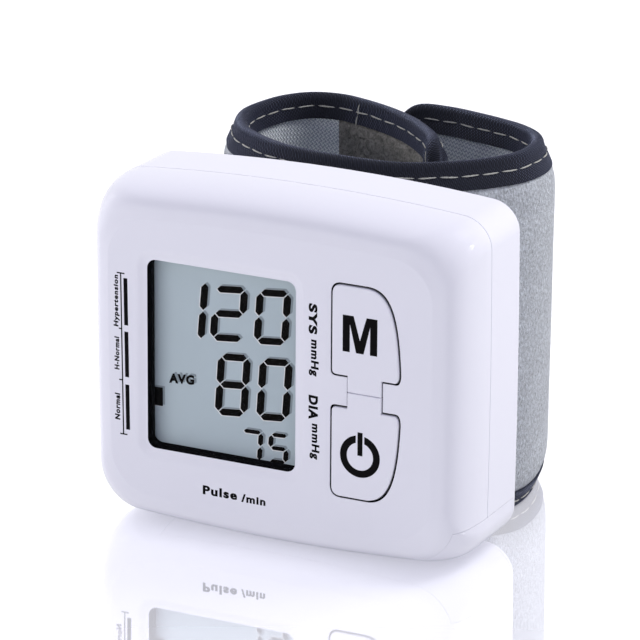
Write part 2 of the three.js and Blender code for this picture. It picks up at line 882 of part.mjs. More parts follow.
/** A contact plate on an end wall of the bay with a bump for a cell's button. */
function makeContact(facing, yFrom, yTo, bumpY) {
  const outerFace = bayInner - gap;
  const innerFace = outerFace - contactThickness;
  const bumpEnd = cellLength / 2 + gap;
  const half = contactWidth / 2;
  const xs = [facing * innerFace, facing * outerFace].sort((a, b) => a - b);
  const bumpXs = [facing * bumpEnd, facing * (innerFace + contactThickness / 2)].sort((a, b) => a - b);
  const plate = box(xs[0], xs[1], yFrom, yTo, cellZ - half, cellZ + half);
  return plate.add(rod("x", springTipRadius, bumpXs[0], bumpXs[1], [bumpY, cellZ]));
}

/** A conical contact spring against a cell's flat end. */
function makeContactSpring(facing, y) {
  const tip = cellLength / 2 + gap;
  const base = tip + springLength;
  if (facing > 0) {
    return cone("x", springTipRadius, springRadius, tip, base, [y, cellZ]);
  }
  return cone("x", springRadius, springTipRadius, -base, -tip, [y, cellZ]);
}

const contactHalf = contactWidth / 2;
addPiece("battery_1", makeCell(cellFrontY, 1), cellGreen);
addPiece("battery_2", makeCell(cellRearY, -1), cellGreen);
addPiece(
  "contact_plate",
  makeContact(1, cellFrontY - contactHalf, cellFrontY + contactHalf, cellFrontY),
  brass,
);
addPiece(
  "contact_bridge",
  makeContact(-1, cellFrontY - contactHalf, cellRearY + contactHalf, cellRearY),
  brass,
);
addPiece("contact_spring_1", makeContactSpring(-1, cellFrontY), steel);
addPiece("contact_spring_2", makeContactSpring(1, cellRearY), steel);

// Pump, valve and air way
const motorPlace = [motorY, motorZ];
const headBottom = motorZ - motorRadius;
const valveBottom = motorZ - valveRadius;
const manifoldTop = manifoldZ + manifoldRadius;
const shaftBore = shaftRadius + shaftClearance;

/** The pump motor, with a bore for its shaft. */
function makeMotor() {
  const can = rod("x", motorRadius, motorLeft, motorRight, motorPlace, fineSides);
  const bore = rod("x", shaftBore, motorRight - shaftBite - gap, farX, motorPlace, smallSides);
  return can.subtract(bore);
}

/** The pump head, with a bore for the shaft and a port facing down. */
function makePumpHead() {
  const back = motorY + motorRadius;
  const head = box(headLeft, headRight, motorY - motorRadius, back, headBottom, motorZ + motorRadius);
  const port = rod("z", portRadius, headBottom - portLength, headBottom + gap, [pumpPortX, motorY]);
  const bore = rod("x", shaftBore, headLeft - overrun, headLeft + shaftBite + gap, motorPlace, smallSides);
  return head.add(port).subtract(bore);
}

const shaftLeft = motorRight - shaftBite;
const shaftRight = headLeft + shaftBite;
addPiece("pump_motor", makeMotor(), steel);
addPiece("pump_head", makePumpHead(), creamPlastic);
addPiece("pump_shaft", rod("x", shaftRadius, shaftLeft, shaftRight, motorPlace, smallSides), steel);

/** The exhaust valve, with a bore for its pin and a port facing down. */
function makeValve() {
  const right = valveLeft + valveLength;
  const body = rod("x", valveRadius, valveLeft, right, motorPlace, fineSides);
  const port = rod("z", portRadius, headBottom - portLength, motorZ, [valvePortX, motorY]);
  const boreStart = right + valvePinStandout - valvePinLength - valvePinTravel - gap;
  const bore = rod("x", valvePinRadius + gap, boreStart, farX, motorPlace, smallSides);
  return body.add(port).subtract(bore);
}

const pinRight = valveLeft + valveLength + valvePinStandout;
addPiece("exhaust_valve", makeValve(), brass);
addPiece(
  "valve_pin",
  rod("x", valvePinRadius, pinRight - valvePinLength, pinRight, motorPlace, smallSides),
  steel,
);

/** The air manifold: one pipe with ports to the pump, the valve, the sensor and the cuff. */
function makeManifold() {
  const left = pumpPortX - manifoldRadius;
  const right = valvePortX + manifoldRadius;
  const lengthwise = [motorY, manifoldZ];
  const back = motorY + manifoldRadius;
  let body = rod("x", manifoldRadius, left, right, lengthwise);
  [pumpPortX, valvePortX].forEach((x) => {
    body = body.add(rod("z", portRadius, manifoldZ, manifoldTop + portLength, [x, motorY]));
  });
  body = body.add(rod("x", portRadius, left - portLength, pumpPortX, lengthwise));
  return body.add(rod("y", portRadius, motorY, back + portLength / 2, [nozzleX, manifoldZ]));
}

addPiece("air_manifold", makeManifold(), creamPlastic);

/** A straight hose along an axis. */
function makeHose(axis, from, to, place) {
  const hose = rod(axis, tubeRadius, from, to, place);
  return hose.subtract(rod(axis, tubeBore, from - overrun, to + overrun, place));
}

const hoseFoot = manifoldTop + gap;
addPiece("pump_tube", makeHose("z", hoseFoot, headBottom - gap, [pumpPortX, motorY]), siliconeTube);
addPiece("valve_tube", makeHose("z", hoseFoot, valveBottom - gap, [valvePortX, motorY]), siliconeTube);
const cuffHoseStart = motorY + manifoldRadius + gap;
addPiece("cuff_tube", makeHose("y", cuffHoseStart, backInner - gap, [nozzleX, manifoldZ]), siliconeTube);

const sensorX = (pumpPortX + boardRight) * sensorPlaceShares[0] - boardRight;
const sensorZ = boardBottom + (manifoldZ - boardBottom) * sensorPlaceShares[1];

/** The pressure sensor on the back of the board, with its port. */
function makeSensor() {
  const half = sensorSize / 2;
  const back = behindBoard + sensorThickness;
  const body = box(sensorX - half, sensorX + half, behindBoard, back, sensorZ - half, sensorZ + half);
  return body.add(rod("y", portRadius, back - gap, back + sensorPort, [sensorX, sensorZ]));
}

/** The bent hose from the manifold to the sensor. */
function makeSensorHose() {
  const startX = pumpPortX - manifoldRadius - gap;
  const endY = behindBoard + sensorThickness + gap;
  const drop = manifoldZ - sensorZ;
  const run = startX - portLength - sensorX;
  const route = [
    [startX, motorY, manifoldZ],
    [startX - portLength, motorY, manifoldZ],
    [sensorX + run * sensorHoseShares[0], motorY, manifoldZ - drop * sensorHoseShares[1]],
    [sensorX, motorY + tubeRadius * sensorHoseShares[2], sensorZ + drop * sensorHoseShares[3]],
    [sensorX, motorY, sensorZ + tubeRadius * sensorHoseShares[4]],
    [sensorX, endY + tubeRadius, sensorZ],
    [sensorX, endY, sensorZ],
  ];
  return tube(route, tubeRadius, tubeBore, sensorHoseSteps);
}

addPiece("pressure_sensor", makeSensor(), chipBlack);
addPiece("sensor_tube", makeSensorHose(), siliconeTube);

/** The motor's lead down to the board. */
function makeLead() {
  const route = [
    [motorLeft - gap - leadRadius, motorY, headBottom + leadDrop],
    [motorLeft - leadBow, motorY - leadBow, headBottom],
    [motorLeft, behindBoard + leadBow, headBottom - leadDrop],
    [motorLeft + leadBow, behindBoard + leadRadius + gap, headBottom - 2 * leadDrop],
  ];
  return tube(route, leadRadius, 0, leadSteps);
}

addPiece("motor_lead", makeLead(), copperLead);

// Cuff

const cuffFrontY = housingDepth + saddleThickness + 2 * softGap + cuffThickness / 2;

/** The middle line through places given as shares. */
function cuffLine(shares) {
  const points = shares.map(
    ([x, y]) => new THREE.Vector3(x * cuffHalfSpan, cuffFrontY + y * cuffReach, 0),
  );
  const line = new THREE.CatmullRomCurve3(points);
  line.arcLengthDivisions = points.length * 8;
  return line;
}

const topLine = cuffLine(cuffLineShares);
const bottomLine = cuffLine(
  cuffLineShares.map(([x, y], index) => {
    const lean = leanShares[index - leanStart] ?? [0, 0];
    return [x + lean[0], y + lean[1]];
  }),
);
const cuffLength = topLine.getLength();

/** A place in the cuff: `along` its middle line, `out` from it, at height z. */
function cuffPoint(along, out, z) {
  const within = Math.min(Math.max(along, 0), cuffLength);
  const t = topLine.getUtoTmapping(within / cuffLength);
  const heightShare = z / cuffHeight;
  const place = bottomLine.getPoint(t).lerp(topLine.getPoint(t), heightShare);
  const heading = bottomLine.getTangent(t).lerp(topLine.getTangent(t), heightShare).normalize();
  place.addScaledVector(heading, along - within);
  return new THREE.Vector3(place.x + heading.y * out, place.y - heading.x * out, z);
}

/** A profile of [out, z] corners carried along the middle line. */
function sweepCuff(from, to, profile, steps) {
  const rings = [];
  for (let step = 0; step <= steps; step += 1) {
    const along = from + ((to - from) * step) / steps;
    rings.push(profile.map(([out, z]) => cuffPoint(along, out, z)));
  }
  const corners = profile.map(([out, z]) => new THREE.Vector2(out, z));
  const caps = THREE.ShapeUtils.triangulateShape(corners, []);
  const count = profile.length;
  const points = rings.flat();
  const faces = [];
  for (let ring = 0; ring < steps; ring += 1) {
    for (let i = 0; i < count; i += 1) {
      const a = ring * count + i;
      const b = ring * count + ((i + 1) % count);
      faces.push(a, b, b + count, a, b + count, a + count);
    }
  }
  const reversed = THREE.ShapeUtils.area(corners) < 0;
  caps.forEach(([a, b, c]) => {
    const end = steps * count;
    const [first, last] = reversed ? [a, c] : [c, a];
    faces.push(first, b, last);
    faces.push(end + last, end + b, end + first);
  });
  return solid(facingOut(points, faces));
}

/** A layer of the cuff between two distances from the middle line. */
function cuffLayer(from, to, inner, outer, margin, steps) {
  const low = margin;
  const high = cuffHeight - margin;
  const profile = [
    [inner, low],
    [outer, low],
    [outer, high],
    [inner, high],
  ];
  return sweepCuff(from, to, profile, steps);
}

const layerMargin = tapeWeb + edgeInset;
const fleeceInner = cuffThickness / 2 - fleeceThickness;
const liningOuter = liningThickness - cuffThickness / 2;
const tapeInside = cuffThickness / 2 + softGap;
const tapeOutside = tapeInside + tapeThickness;
const hookCut = hookEndLength;
const wrapCut = cuffLength - wrapEndLength;
const tapeClear = tapeWidth + gap;

/** The tape folded over an edge of the cuff, as a channel. */
function tapeChannel(from, to, atTop, steps) {
  const flip = (z) => (atTop ? cuffHeight - z : z);
  const profile = [
    [-tapeOutside, flip(0)],
    [tapeOutside, flip(0)],
    [tapeOutside, flip(tapeWidth)],
    [tapeInside, flip(tapeWidth)],
    [tapeInside, flip(tapeWeb)],
    [-tapeInside, flip(tapeWeb)],
    [-tapeInside, flip(tapeWidth)],
    [-tapeOutside, flip(tapeWidth)],
  ];
  return sweepCuff(from, to, profile, steps);
}

/** The tape along the top edge and down the tip, which is where `along` is `tip`. */
function topTapeWithTip(from, to, tip, steps) {
  const inward = tip === from ? 1 : -1;
  const tipEnds = [tip, tip + inward * tapeWidth].sort((a, b) => a - b);
  const insideEnds = [tip + inward * tapeWeb, tip + inward * (tapeWidth + overrun)].sort((a, b) => a - b);
  const bar = [
    [-tapeOutside, tapeClear],
    [tapeOutside, tapeClear],
    [tapeOutside, cuffHeight - tapeWeb / 2],
    [-tapeOutside, cuffHeight - tapeWeb / 2],
  ];
  const inside = [
    [-tapeInside, -overrun],
    [tapeInside, -overrun],
    [tapeInside, cuffHeight - tapeWeb],
    [-tapeInside, cuffHeight - tapeWeb],
  ];
  const channel = tapeChannel(from, to, true, steps);
  const tipBar = sweepCuff(tipEnds[0], tipEnds[1], bar, tipSteps);
  return channel.add(tipBar).subtract(sweepCuff(insideEnds[0], insideEnds[1], inside, tipSteps));
}

// The middle part of the cuff
const middleFrom = hookCut + gap / 2;
const middleTo = wrapCut - gap / 2;
const nozzlePlace = [nozzleX, manifoldZ];
const nozzleHole = rod("y", portRadius + gap, backInner - overrun, farY + cuffThickness, nozzlePlace);
const stiffenerOuter = fleeceInner - softGap;
const stiffenerInner = stiffenerOuter - stiffenerThickness;
const bladderOuter = stiffenerInner - softGap;
const bladderInner = liningOuter + softGap;
const bladderFrom = middleFrom + bladderMargin;
const bladderTo = middleTo - bladderMargin;

/** One layer of the cuff's middle part. */
function middleLayer(inner, outer) {
  return cuffLayer(middleFrom, middleTo, inner, outer, layerMargin, cuffSteps);
}

const fleece = middleLayer(fleeceInner, cuffThickness / 2);
const stiffener = middleLayer(stiffenerInner, stiffenerOuter);
const bladder = cuffLayer(bladderFrom, bladderTo, bladderInner, bladderOuter, bladderMargin, cuffSteps);
addPiece("cuff_fleece", fleece.subtract(nozzleHole), greyFleece);
addPiece("cuff_stiffener", stiffener.subtract(nozzleHole), stiffenerWhite);
addPiece("cuff_bladder", bladder, bladderGrey);
addPiece("cuff_lining", middleLayer(-cuffThickness / 2, liningOuter), blueLining);
addPiece("cuff_binding_top", tapeChannel(middleFrom, middleTo, true, cuffSteps), darkTape);
addPiece("cuff_binding_bottom", tapeChannel(middleFrom, middleTo, false, cuffSteps), darkTape);

/** The layers of one end of the cuff. */
function addEnd(name, from, to, tip, steps) {
  const tipInset = tapeWeb + edgeInset;
  const layerFrom = tip === from ? from + tipInset : from;
  const layerTo = tip === to ? to - tipInset : to;
  const half = cuffThickness / 2;
  const padInner = liningOuter + softGap;
  const padOuter = fleeceInner - softGap;
  const layer = (inner, outer) => cuffLayer(layerFrom, layerTo, inner, outer, layerMargin, steps);
  addPiece(`${name}_fleece`, layer(fleeceInner, half), greyFleece);
  addPiece(`${name}_padding`, layer(padInner, padOuter), bladderGrey);
  addPiece(`${name}_lining`, layer(-half, liningOuter), blueLining);
  addPiece(`${name}_binding_top`, topTapeWithTip(from, to, tip, steps), darkTape);
  addPiece(`${name}_binding_bottom`, tapeChannel(from, to, false, steps), darkTape);
}

addEnd("hook_end", 0, hookCut - gap / 2, 0, hookEndSteps);
addEnd("wrap_end", wrapCut + gap / 2, cuffLength, cuffLength, wrapEndSteps);
const patchOuter = -cuffThickness / 2 - softGap;
addPiece(
  "hook_patch",
  cuffLayer(
    tapeClear,
    tapeClear + hookPatchLength,
    patchOuter - hookPatchThickness,
    patchOuter,
    tapeClear,
    cuffSteps / 2,
  ),
  darkPile,
);

// Saddle and nozzle

/** Everything that lies inside a surface of the cuff's middle part. */
function insideCuff(out) {
  const profile = [
    [out - 2 * cuffThickness, -overrun],
    [out, -overrun],
    [out, cuffHeight + overrun],
    [out - 2 * cuffThickness, cuffHeight + overrun],
  ];
  return sweepCuff(middleFrom, middleTo, profile, cuffSteps);
}

/** The saddle: a plate that fits the cuff, with four snap posts into the back wall. */
function makeSaddle() {
  const front = housingDepth + softGap;
  const half = saddleWidth / 2;
  let body = box(-half, half, front, cuffFrontY, saddleBottom, saddleTop);
  postPlaces.forEach((place) => {
    const headEnd = backInner - gap;
    body = body.add(rod("y", postRadius, headEnd - gap, front + gap, place));
    body = body.add(rod("y", postHeadRadius, headEnd - postHeadLength, headEnd, place));
  });
  return body.subtract(insideCuff(cuffThickness / 2 + softGap)).subtract(nozzleHole);
}

/** The nozzle from the hose inside the housing to the bladder. */
function makeNozzle() {
  const start = motorY + manifoldRadius + portLength / 2 + gap;
  const pipe = rod("y", portRadius, start, cuffFrontY + cuffThickness, nozzlePlace);
  const bore = rod("y", nozzleBore, start - overrun, farY + cuffThickness, nozzlePlace, smallSides);
  return pipe.subtract(insideCuff(bladderOuter + softGap)).subtract(bore);
}

addPiece("cuff_saddle", makeSaddle(), creamPlastic);
addPiece("cuff_nozzle", makeNozzle(), creamPlastic);

// The origin in the middle of the whole outline, on the foot
const outline = new THREE.Box3().setFromObject(monitor);
monitor.position.y = -(outline.min.y + outline.max.y) / 2;

export default monitor;
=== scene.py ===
"""The looks of a wrist blood pressure monitor that stands on its battery cover.

Lengths in the classes are millimetres in the row frame. The front panel lies at PANEL_Y, the foot
at z = 0, and a depth counts from the panel towards the back.
"""

import logging
import math
from collections.abc import Iterable, Sequence
from dataclasses import dataclass
from enum import Enum
from functools import cache

import bmesh
import bpy
import numpy as np
from mathutils import Matrix, Vector


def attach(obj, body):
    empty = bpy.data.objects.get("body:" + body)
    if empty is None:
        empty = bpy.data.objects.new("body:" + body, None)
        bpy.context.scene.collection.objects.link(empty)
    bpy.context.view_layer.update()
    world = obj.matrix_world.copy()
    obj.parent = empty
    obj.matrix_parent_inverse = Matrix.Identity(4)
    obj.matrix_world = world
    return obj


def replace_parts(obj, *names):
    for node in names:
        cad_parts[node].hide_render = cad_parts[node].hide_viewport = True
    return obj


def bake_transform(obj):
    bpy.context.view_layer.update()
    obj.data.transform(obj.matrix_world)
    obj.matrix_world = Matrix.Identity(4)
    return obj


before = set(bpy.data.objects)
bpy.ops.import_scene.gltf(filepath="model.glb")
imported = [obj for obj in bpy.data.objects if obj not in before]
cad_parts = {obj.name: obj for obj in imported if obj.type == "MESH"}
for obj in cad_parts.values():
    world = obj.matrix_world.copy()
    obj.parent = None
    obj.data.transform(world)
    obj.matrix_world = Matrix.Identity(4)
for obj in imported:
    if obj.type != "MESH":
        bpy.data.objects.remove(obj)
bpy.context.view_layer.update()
log = logging.getLogger("monitor")

MM = 0.001
PANEL_Y = -35.617  # where the flat front panel lies along Y
FAR = 60.0  # past every outline, for tools that cut right through
QUARTER = math.pi / 2
STRAP_MAP = "strap"  # the name of the UV map that holds millimetres along and up the cuff
ONE_BAND = 0.314  # the scale at which a band texture has one band to each unit

Point = tuple[float, float]
Place = tuple[float, float, float]
Box = tuple[float, float, float, float]  # x0, x1, z0, z1
Ring = np.ndarray
Solid = tuple[np.ndarray, list[list[int]]]  # points and faces
Piece = bpy.types.Object
Socket = bpy.types.NodeSocket


# Colour and nodes


def linear(colour: str) -> tuple[float, float, float, float]:
    """Turns six hex digits of sRGB into linear red, green and blue, with an alpha of 1."""
    parts = [int(colour[i : i + 2], 16) / 255 for i in (0, 2, 4)]
    light = [p / 12.92 if p <= 0.04045 else ((p + 0.055) / 1.055) ** 2.4 for p in parts]
    return light[0], light[1], light[2], 1.0


def add_node(
    tree: bpy.types.NodeTree,
    kind: str,
    values: dict | None = None,
    links: dict | None = None,
    **settings: object,
) -> bpy.types.Node:
    """Adds one node with its settings and links.

    Args:
        tree: the node tree that gets the node.
        kind: Blender's name of the node type, without ShaderNode.
        values: default values by input name or number.
        links: output sockets by input name or number.
        **settings: attributes of the node itself.

    Returns:
        The new node.
    """
    node = tree.nodes.new(f"ShaderNode{kind}")
    for name, value in settings.items():
        setattr(node, name, value)
    for key, value in (values or {}).items():
        node.inputs[key].default_value = value
    for key, socket in (links or {}).items():
        tree.links.new(socket, node.inputs[key])
    return node


class Surface:
    """A material's nodes, while a finish dresses them."""

    def __init__(self, name: str, values: dict[str, object]) -> None:
        """Starts a material with one Principled shader.

        Args:
            name: the material's name.
            values: the shader's values by input name.
        """
        self.material = bpy.data.materials.new(name)
        self.material.use_nodes = True
        self.tree = self.material.node_tree
        self.tree.nodes.clear()
        self.shader = add_node(self.tree, "BsdfPrincipled", values)
        add_node(self.tree, "OutputMaterial", links={"Surface": self.shader.outputs["BSDF"]})

    def give(self, name: str, value: object) -> None:
        """Sets one value of the shader, or links a socket to it.

        Args:
            name: the shader's input.
            value: the value or the output socket that feeds it.
        """
        if isinstance(value, Socket):
            self.tree.links.new(value, self.shader.inputs[name])
        else:
            self.shader.inputs[name].default_value = value

    def sheen(self, weight: float, roughness: float = 0.5) -> None:
        """Lets fibres that stand up catch light at the edges."""
        self.give("Sheen Weight", weight)
        self.give("Sheen Roughness", roughness)

    def millimetres(self) -> Socket:
        """Gives the place on the piece in millimetres."""
        place = add_node(self.tree, "TexCoord").outputs["Object"]
        scaled = add_node(self.tree, "VectorMath", {1: (1 / MM,) * 3}, {0: place}, operation="MULTIPLY")
        return scaled.outputs["Vector"]

    def strap(self) -> Socket:
        """Gives the place on the cuff in millimetres along and up it."""
        return add_node(self.tree, "UVMap", uv_map=STRAP_MAP).outputs["UV"]

    def tint(self, amount: Socket, share: float) -> None:
        """Lets the base colour go from a little darker to a little lighter.

        Args:
            amount: a socket from 0, darker, to 1, lighter.
            share: how much darker and lighter.
        """
        base = self.shader.inputs["Base Color"].default_value[:3]
        ends = [[min(c * scale, 1.0) for c in base] + [1.0] for scale in (1 - share, 1 + share)]
        mixed = add_node(self.tree, "Mix", {6: ends[0], 7: ends[1]}, {0: amount}, data_type="RGBA")
        self.give("Base Color", mixed.outputs[2])

    def emboss(self, height: Socket, depth_mm: float) -> None:
        """Raises the surface by a height, of which 1 stands for depth_mm."""
        values = {"Distance": depth_mm * MM, "Strength": 1.0}
        bump = add_node(self.tree, "Bump", values, {"Height": height})
        self.give("Normal", bump.outputs["Normal"])


# Finishes


@dataclass(frozen=True)
class Finish:
    """A surface with a fine grain and a slight mottle, for whatever needs no pattern of its own."""

    name: str
    colour: str
    roughness: float = 0.5
    ior: float = 1.5
    metallic: float = 0.0
    grain_mm: float = 0.5
    grain_depth_mm: float = 0.01
    mottle: float = 0.05
    mottle_mm: float = 8.0
    gloss: float = 0.5  # Principled's specular level, 0.5 for a plain surface of its IOR

    def make(self) -> bpy.types.Material:
        """Builds the material and dresses it."""
        values = {
            "Base Color": linear(self.colour),
            "Roughness": self.roughness,
            "Metallic": self.metallic,
            "IOR": self.ior,
            "Specular IOR Level": self.gloss,
        }
        surface = Surface(self.name, values)
        self.dress(surface)
        return surface.material

    def dress(self, surface: Surface) -> None:
        """Adds the grain and the mottle, which also varies the gloss.

        Args:
            surface: the nodes to dress.
        """
        place = surface.millimetres()
        values = {"Scale": 1 / self.mottle_mm, "Detail": 3.0}
        cloud = add_node(surface.tree, "TexNoise", values, {"Vector": place}).outputs["Fac"]
        surface.tint(cloud, self.mottle)
        values = {"Scale": 1 / self.grain_mm, "Detail": 2.0}
        grain = add_node(surface.tree, "TexNoise", values, {"Vector": place}).outputs["Fac"]
        surface.emboss(grain, self.grain_depth_mm)
        values = {"To Min": self.roughness * 0.9, "To Max": min(self.roughness * 1.12, 1.0)}
        rough = add_node(surface.tree, "MapRange", values, {"Value": cloud}).outputs["Result"]
        surface.give("Roughness", rough)


@dataclass(frozen=True)
class ClearAcrylic(Finish):
    """Cast acrylic: so clear that only a trace of its surface shows."""

    alpha: float = 0.06

    def dress(self, surface: Surface) -> None:
        """Makes the pane see-through, with faint smears in its gloss."""
        super().dress(surface)
        surface.give("Alpha", self.alpha)


@dataclass(frozen=True)
class BrushedLoop(Finish):
    """Brushed loop pile, the soft outside that the fastener's hooks grip."""

    fibre_mm: float = 0.4
    streak: float = 0.55  # brushing lays the fibres mostly one way, so the grain is longer up the cuff
    lean: float = 0.35
    cloud_share: float = 0.12

    def dress(self, surface: Surface) -> None:
        """Draws short upright fibres over softer clouds.

        Args:
            surface: the nodes to dress.
        """
        tree, place = surface.tree, surface.strap()
        scale = (1 / self.fibre_mm, self.streak / self.fibre_mm, 1.0)
        values = {"Rotation": (0.0, 0.0, self.lean), "Scale": scale}
        lean = add_node(tree, "Mapping", values, {"Vector": place}).outputs["Vector"]
        values = {"Scale": 1.0, "Detail": 4.0, "Roughness": 0.72, "Distortion": 0.6}
        fibres = add_node(tree, "TexNoise", values, {"Vector": lean}).outputs["Fac"]
        values = {"Scale": 0.16, "Detail": 3.0}
        clouds = add_node(tree, "TexNoise", values, {"Vector": place}).outputs["Fac"]
        both = add_node(tree, "Mix", {0: self.cloud_share}, {2: fibres, 3: clouds}, data_type="FLOAT")
        values = {"From Min": 0.34, "From Max": 0.66}
        clear = add_node(tree, "MapRange", values, {"Value": both.outputs[0]}).outputs["Result"]
        surface.tint(clear, self.mottle)
        surface.emboss(fibres, self.grain_depth_mm)
        surface.sheen(0.35)


@dataclass(frozen=True)
class WovenNylon(Finish):
    """Plain-woven nylon, whose threads pass over and under each other."""

    pitch_mm: float = 0.58
    lean: float = math.radians(38)

    def dress(self, surface: Surface) -> None:
        """Draws a plain weave of two crossing sets of threads.

        Args:
            surface: the nodes to dress.
        """
        tree = surface.tree
        values = {"Rotation": (0.0, 0.0, self.lean), "Scale": (1 / self.pitch_mm,) * 3}
        place = add_node(tree, "Mapping", values, {"Vector": surface.strap()}).outputs["Vector"]
        over = add_node(tree, "TexChecker", {"Scale": 1.0}, {"Vector": place}).outputs["Fac"]
        threads = []
        for way in ("X", "Y"):
            band = add_node(tree, "TexWave", {"Scale": ONE_BAND}, {"Vector": place}, bands_direction=way)
            threads.append(band.outputs["Fac"])
        links = {0: over, 2: threads[0], 3: threads[1]}
        weave = add_node(tree, "Mix", links=links, data_type="FLOAT").outputs[0]
        fuzz = add_node(tree, "TexNoise", {"Scale": 2.4, "Detail": 3.0}, {"Vector": place}).outputs["Fac"]
        soft = add_node(tree, "Mix", {0: 0.3}, {2: weave, 3: fuzz}, data_type="FLOAT").outputs[0]
        surface.tint(soft, self.mottle)
        surface.emboss(soft, self.grain_depth_mm)
        surface.sheen(0.15, 0.4)


@dataclass(frozen=True)
class RibbedTape(Finish):
    """Polyester binding tape, whose fine ribs run across it and lean like a twill."""

    rib_mm: float = 0.36
    lean: float = math.radians(16)
    float_lean: float = math.radians(-40)

    def dress(self, surface: Surface) -> None:
        """Draws leaning ribs that break into short floats.

        Args:
            surface: the nodes to dress.
        """
        tree, place = surface.tree, surface.strap()
        wobble = {"Distortion": 0.5, "Detail": 1.0, "Detail Scale": 2.0}
        sets = (("X", self.lean, 1 / self.rib_mm, wobble), ("Y", self.float_lean, 0.7 / self.rib_mm, {}))
        threads = []
        for way, turn, scale, more in sets:
            values = {"Rotation": (0.0, 0.0, turn), "Scale": (scale,) * 3}
            turned = add_node(tree, "Mapping", values, {"Vector": place}).outputs["Vector"]
            values = {"Scale": ONE_BAND, **more}
            band = add_node(tree, "TexWave", values, {"Vector": turned}, bands_direction=way)
            threads.append(band.outputs["Fac"])
        links = {2: threads[0], 3: threads[1]}
        weave = add_node(tree, "Mix", {0: 0.35}, links, data_type="FLOAT").outputs[0]
        surface.tint(weave, self.mottle)
        surface.emboss(weave, self.grain_depth_mm)
        surface.sheen(0.42, 0.3)
        surface.give("Sheen Tint", linear("C4CEF6"))


@dataclass(frozen=True)
class HookPile(Finish):
    """The dark fastener patch, matted by use so that its hooks show as a rough nap."""

    tuft_mm: float = 1.1

    def dress(self, surface: Surface) -> None:
        """Draws matted tufts.

        Args:
            surface: the nodes to dress.
        """
        values = {"Scale": 1 / self.tuft_mm, "Detail": 5.0, "Roughness": 0.75, "Distortion": 1.2}
        tufts = add_node(surface.tree, "TexNoise", values, {"Vector": surface.strap()}).outputs["Fac"]
        values = {"From Min": 0.32, "From Max": 0.68}
        clear = add_node(surface.tree, "MapRange", values, {"Value": tufts}).outputs["Result"]
        surface.tint(clear, self.mottle)
        surface.emboss(tufts, self.grain_depth_mm)
        surface.sheen(0.05)


@dataclass(frozen=True)
class SolderMask(Finish):
    """Solder mask over copper tracks, which stand up a little and look lighter."""

    track_mm: float = 1.6

    def dress(self, surface: Surface) -> None:
        """Draws tracks between the parts on the board.

        Args:
            surface: the nodes to dress.
        """
        turned = {"Rotation": (QUARTER, 0.0, 0.0)}
        flat = add_node(surface.tree, "Mapping", turned, {"Vector": surface.millimetres()})
        values = {"Scale": 1.0, "Mortar Size": 0.09, "Color2": (0.25, 0.25, 0.25, 1.0)}
        values |= {"Row Height": self.track_mm, "Brick Width": 3 * self.track_mm}
        values |= {"Color1": linear("000000"), "Mortar": linear("FFFFFF")}
        bricks = add_node(surface.tree, "TexBrick", values, {"Vector": flat.outputs["Vector"]})
        tracks = bricks.outputs["Color"]
        surface.tint(tracks, self.mottle)
        surface.emboss(tracks, self.grain_depth_mm)


@cache
def material_of(finish: Finish) -> bpy.types.Material:
    """Makes each finish once."""
    return finish.make()


def film(name: str, colour: str, roughness: float, grain: Point, mottle: float, gloss: float) -> Finish:
    """Gives a thin flat layer, such as ink or liquid crystal, whose grain is a width and a depth."""
    return Finish(name, colour, roughness, 1.45, 0.0, *grain, mottle, gloss=gloss)


# Injection-moulded ABS: a smooth, slightly soft gloss, with a faint lavender cast
WHITE_ABS = Finish("white_moulded_abs", "E7E7F2", 0.19, 1.54, 0.0, 0.5, 0.0012, 0.012, 24.0)
# Pad-printing ink: flat black with a trace of gloss
PRINT_INK = Finish("black_pad_print_ink", "0A090B", 0.6, 1.5, 0.0, 0.12, 0.002, 0.1, gloss=0.06)
# The display's rear polariser: an even silvery grey-green with a very fine tooth
LCD_FACE = Finish("lcd_polariser_film", "C8D7DF", 0.6, 1.49, 0.0, 0.25, 0.001, 0.012, 10.0, 0.2)
# Driven liquid crystal: nearly black, flat
LCD_SEGMENT = film("driven_liquid_crystal", "0C0A08", 0.7, (0.2, 0.0005), 0.1, 0.05)
# The painted shadow that each segment casts on the reflector behind the glass, and a painted highlight, the
# light line beside it
LCD_SHADOW = film("reflector_in_shadow", "98A4AC", 0.7, (0.2, 0.0005), 0.03, 0.1)
# Painted highlight: the bright line beside each segment, far whiter than the liquid crystal itself
LCD_EDGE = film("painted_highlight_rim", "FCFEFF", 0.7, (0.2, 0.0005), 0.02, 0.1)
# Cast acrylic with a hard coat that quells reflections: hardly to be seen
CLEAR_PANE = ClearAcrylic("coated_acrylic_pane", "20242A", 0.06, 1.49, 0.0, 0.5, 0.0002, 0.01, gloss=0.12)
# Die-cut EPDM foam and conductive rubber: light-swallowing black
BLACK_FOAM = Finish("epdm_foam", "0B0B0D", 0.9, 1.45, 0.0, 0.35, 0.03, 0.2, 1.5, 0.1)
# Natural moulded nylon and polyoxymethylene: waxy off-white
NATURAL_NYLON = Finish("natural_moulded_nylon", "D8D4C4", 0.46, 1.53, 0.0, 0.6, 0.006)
# Epoxy moulding compound: dull black with a fine matt tooth
EPOXY_PACKAGE = Finish("epoxy_moulding_compound", "1E1E20", 0.55, 1.55, 0.0, 0.15, 0.008, 0.12, 2.0)
# Solder mask: deep green under a thin gloss, lighter over the tracks
BOARD_MASK = SolderMask("green_solder_mask", "1D5A39", 0.38, grain_depth_mm=0.02, mottle=0.35)
# Zinc-plated steel: bright with a fine drawn grain
PLATED_STEEL = Finish("zinc_plated_steel", "B4B8BE", 0.3, 1.5, 1.0, 0.3, 0.004, 0.06, 3.0)
# Rolled brass: warm, with soft rolling marks
ROLLED_BRASS = Finish("rolled_brass", "C9A75A", 0.34, 1.5, 1.0, 0.3, 0.004, 0.08, 3.0)
# Extruded silicone: milky, slightly tacky gloss
SILICONE_HOSE = Finish("extruded_silicone", "D9DCD8", 0.42, 1.41, grain_mm=0.8)
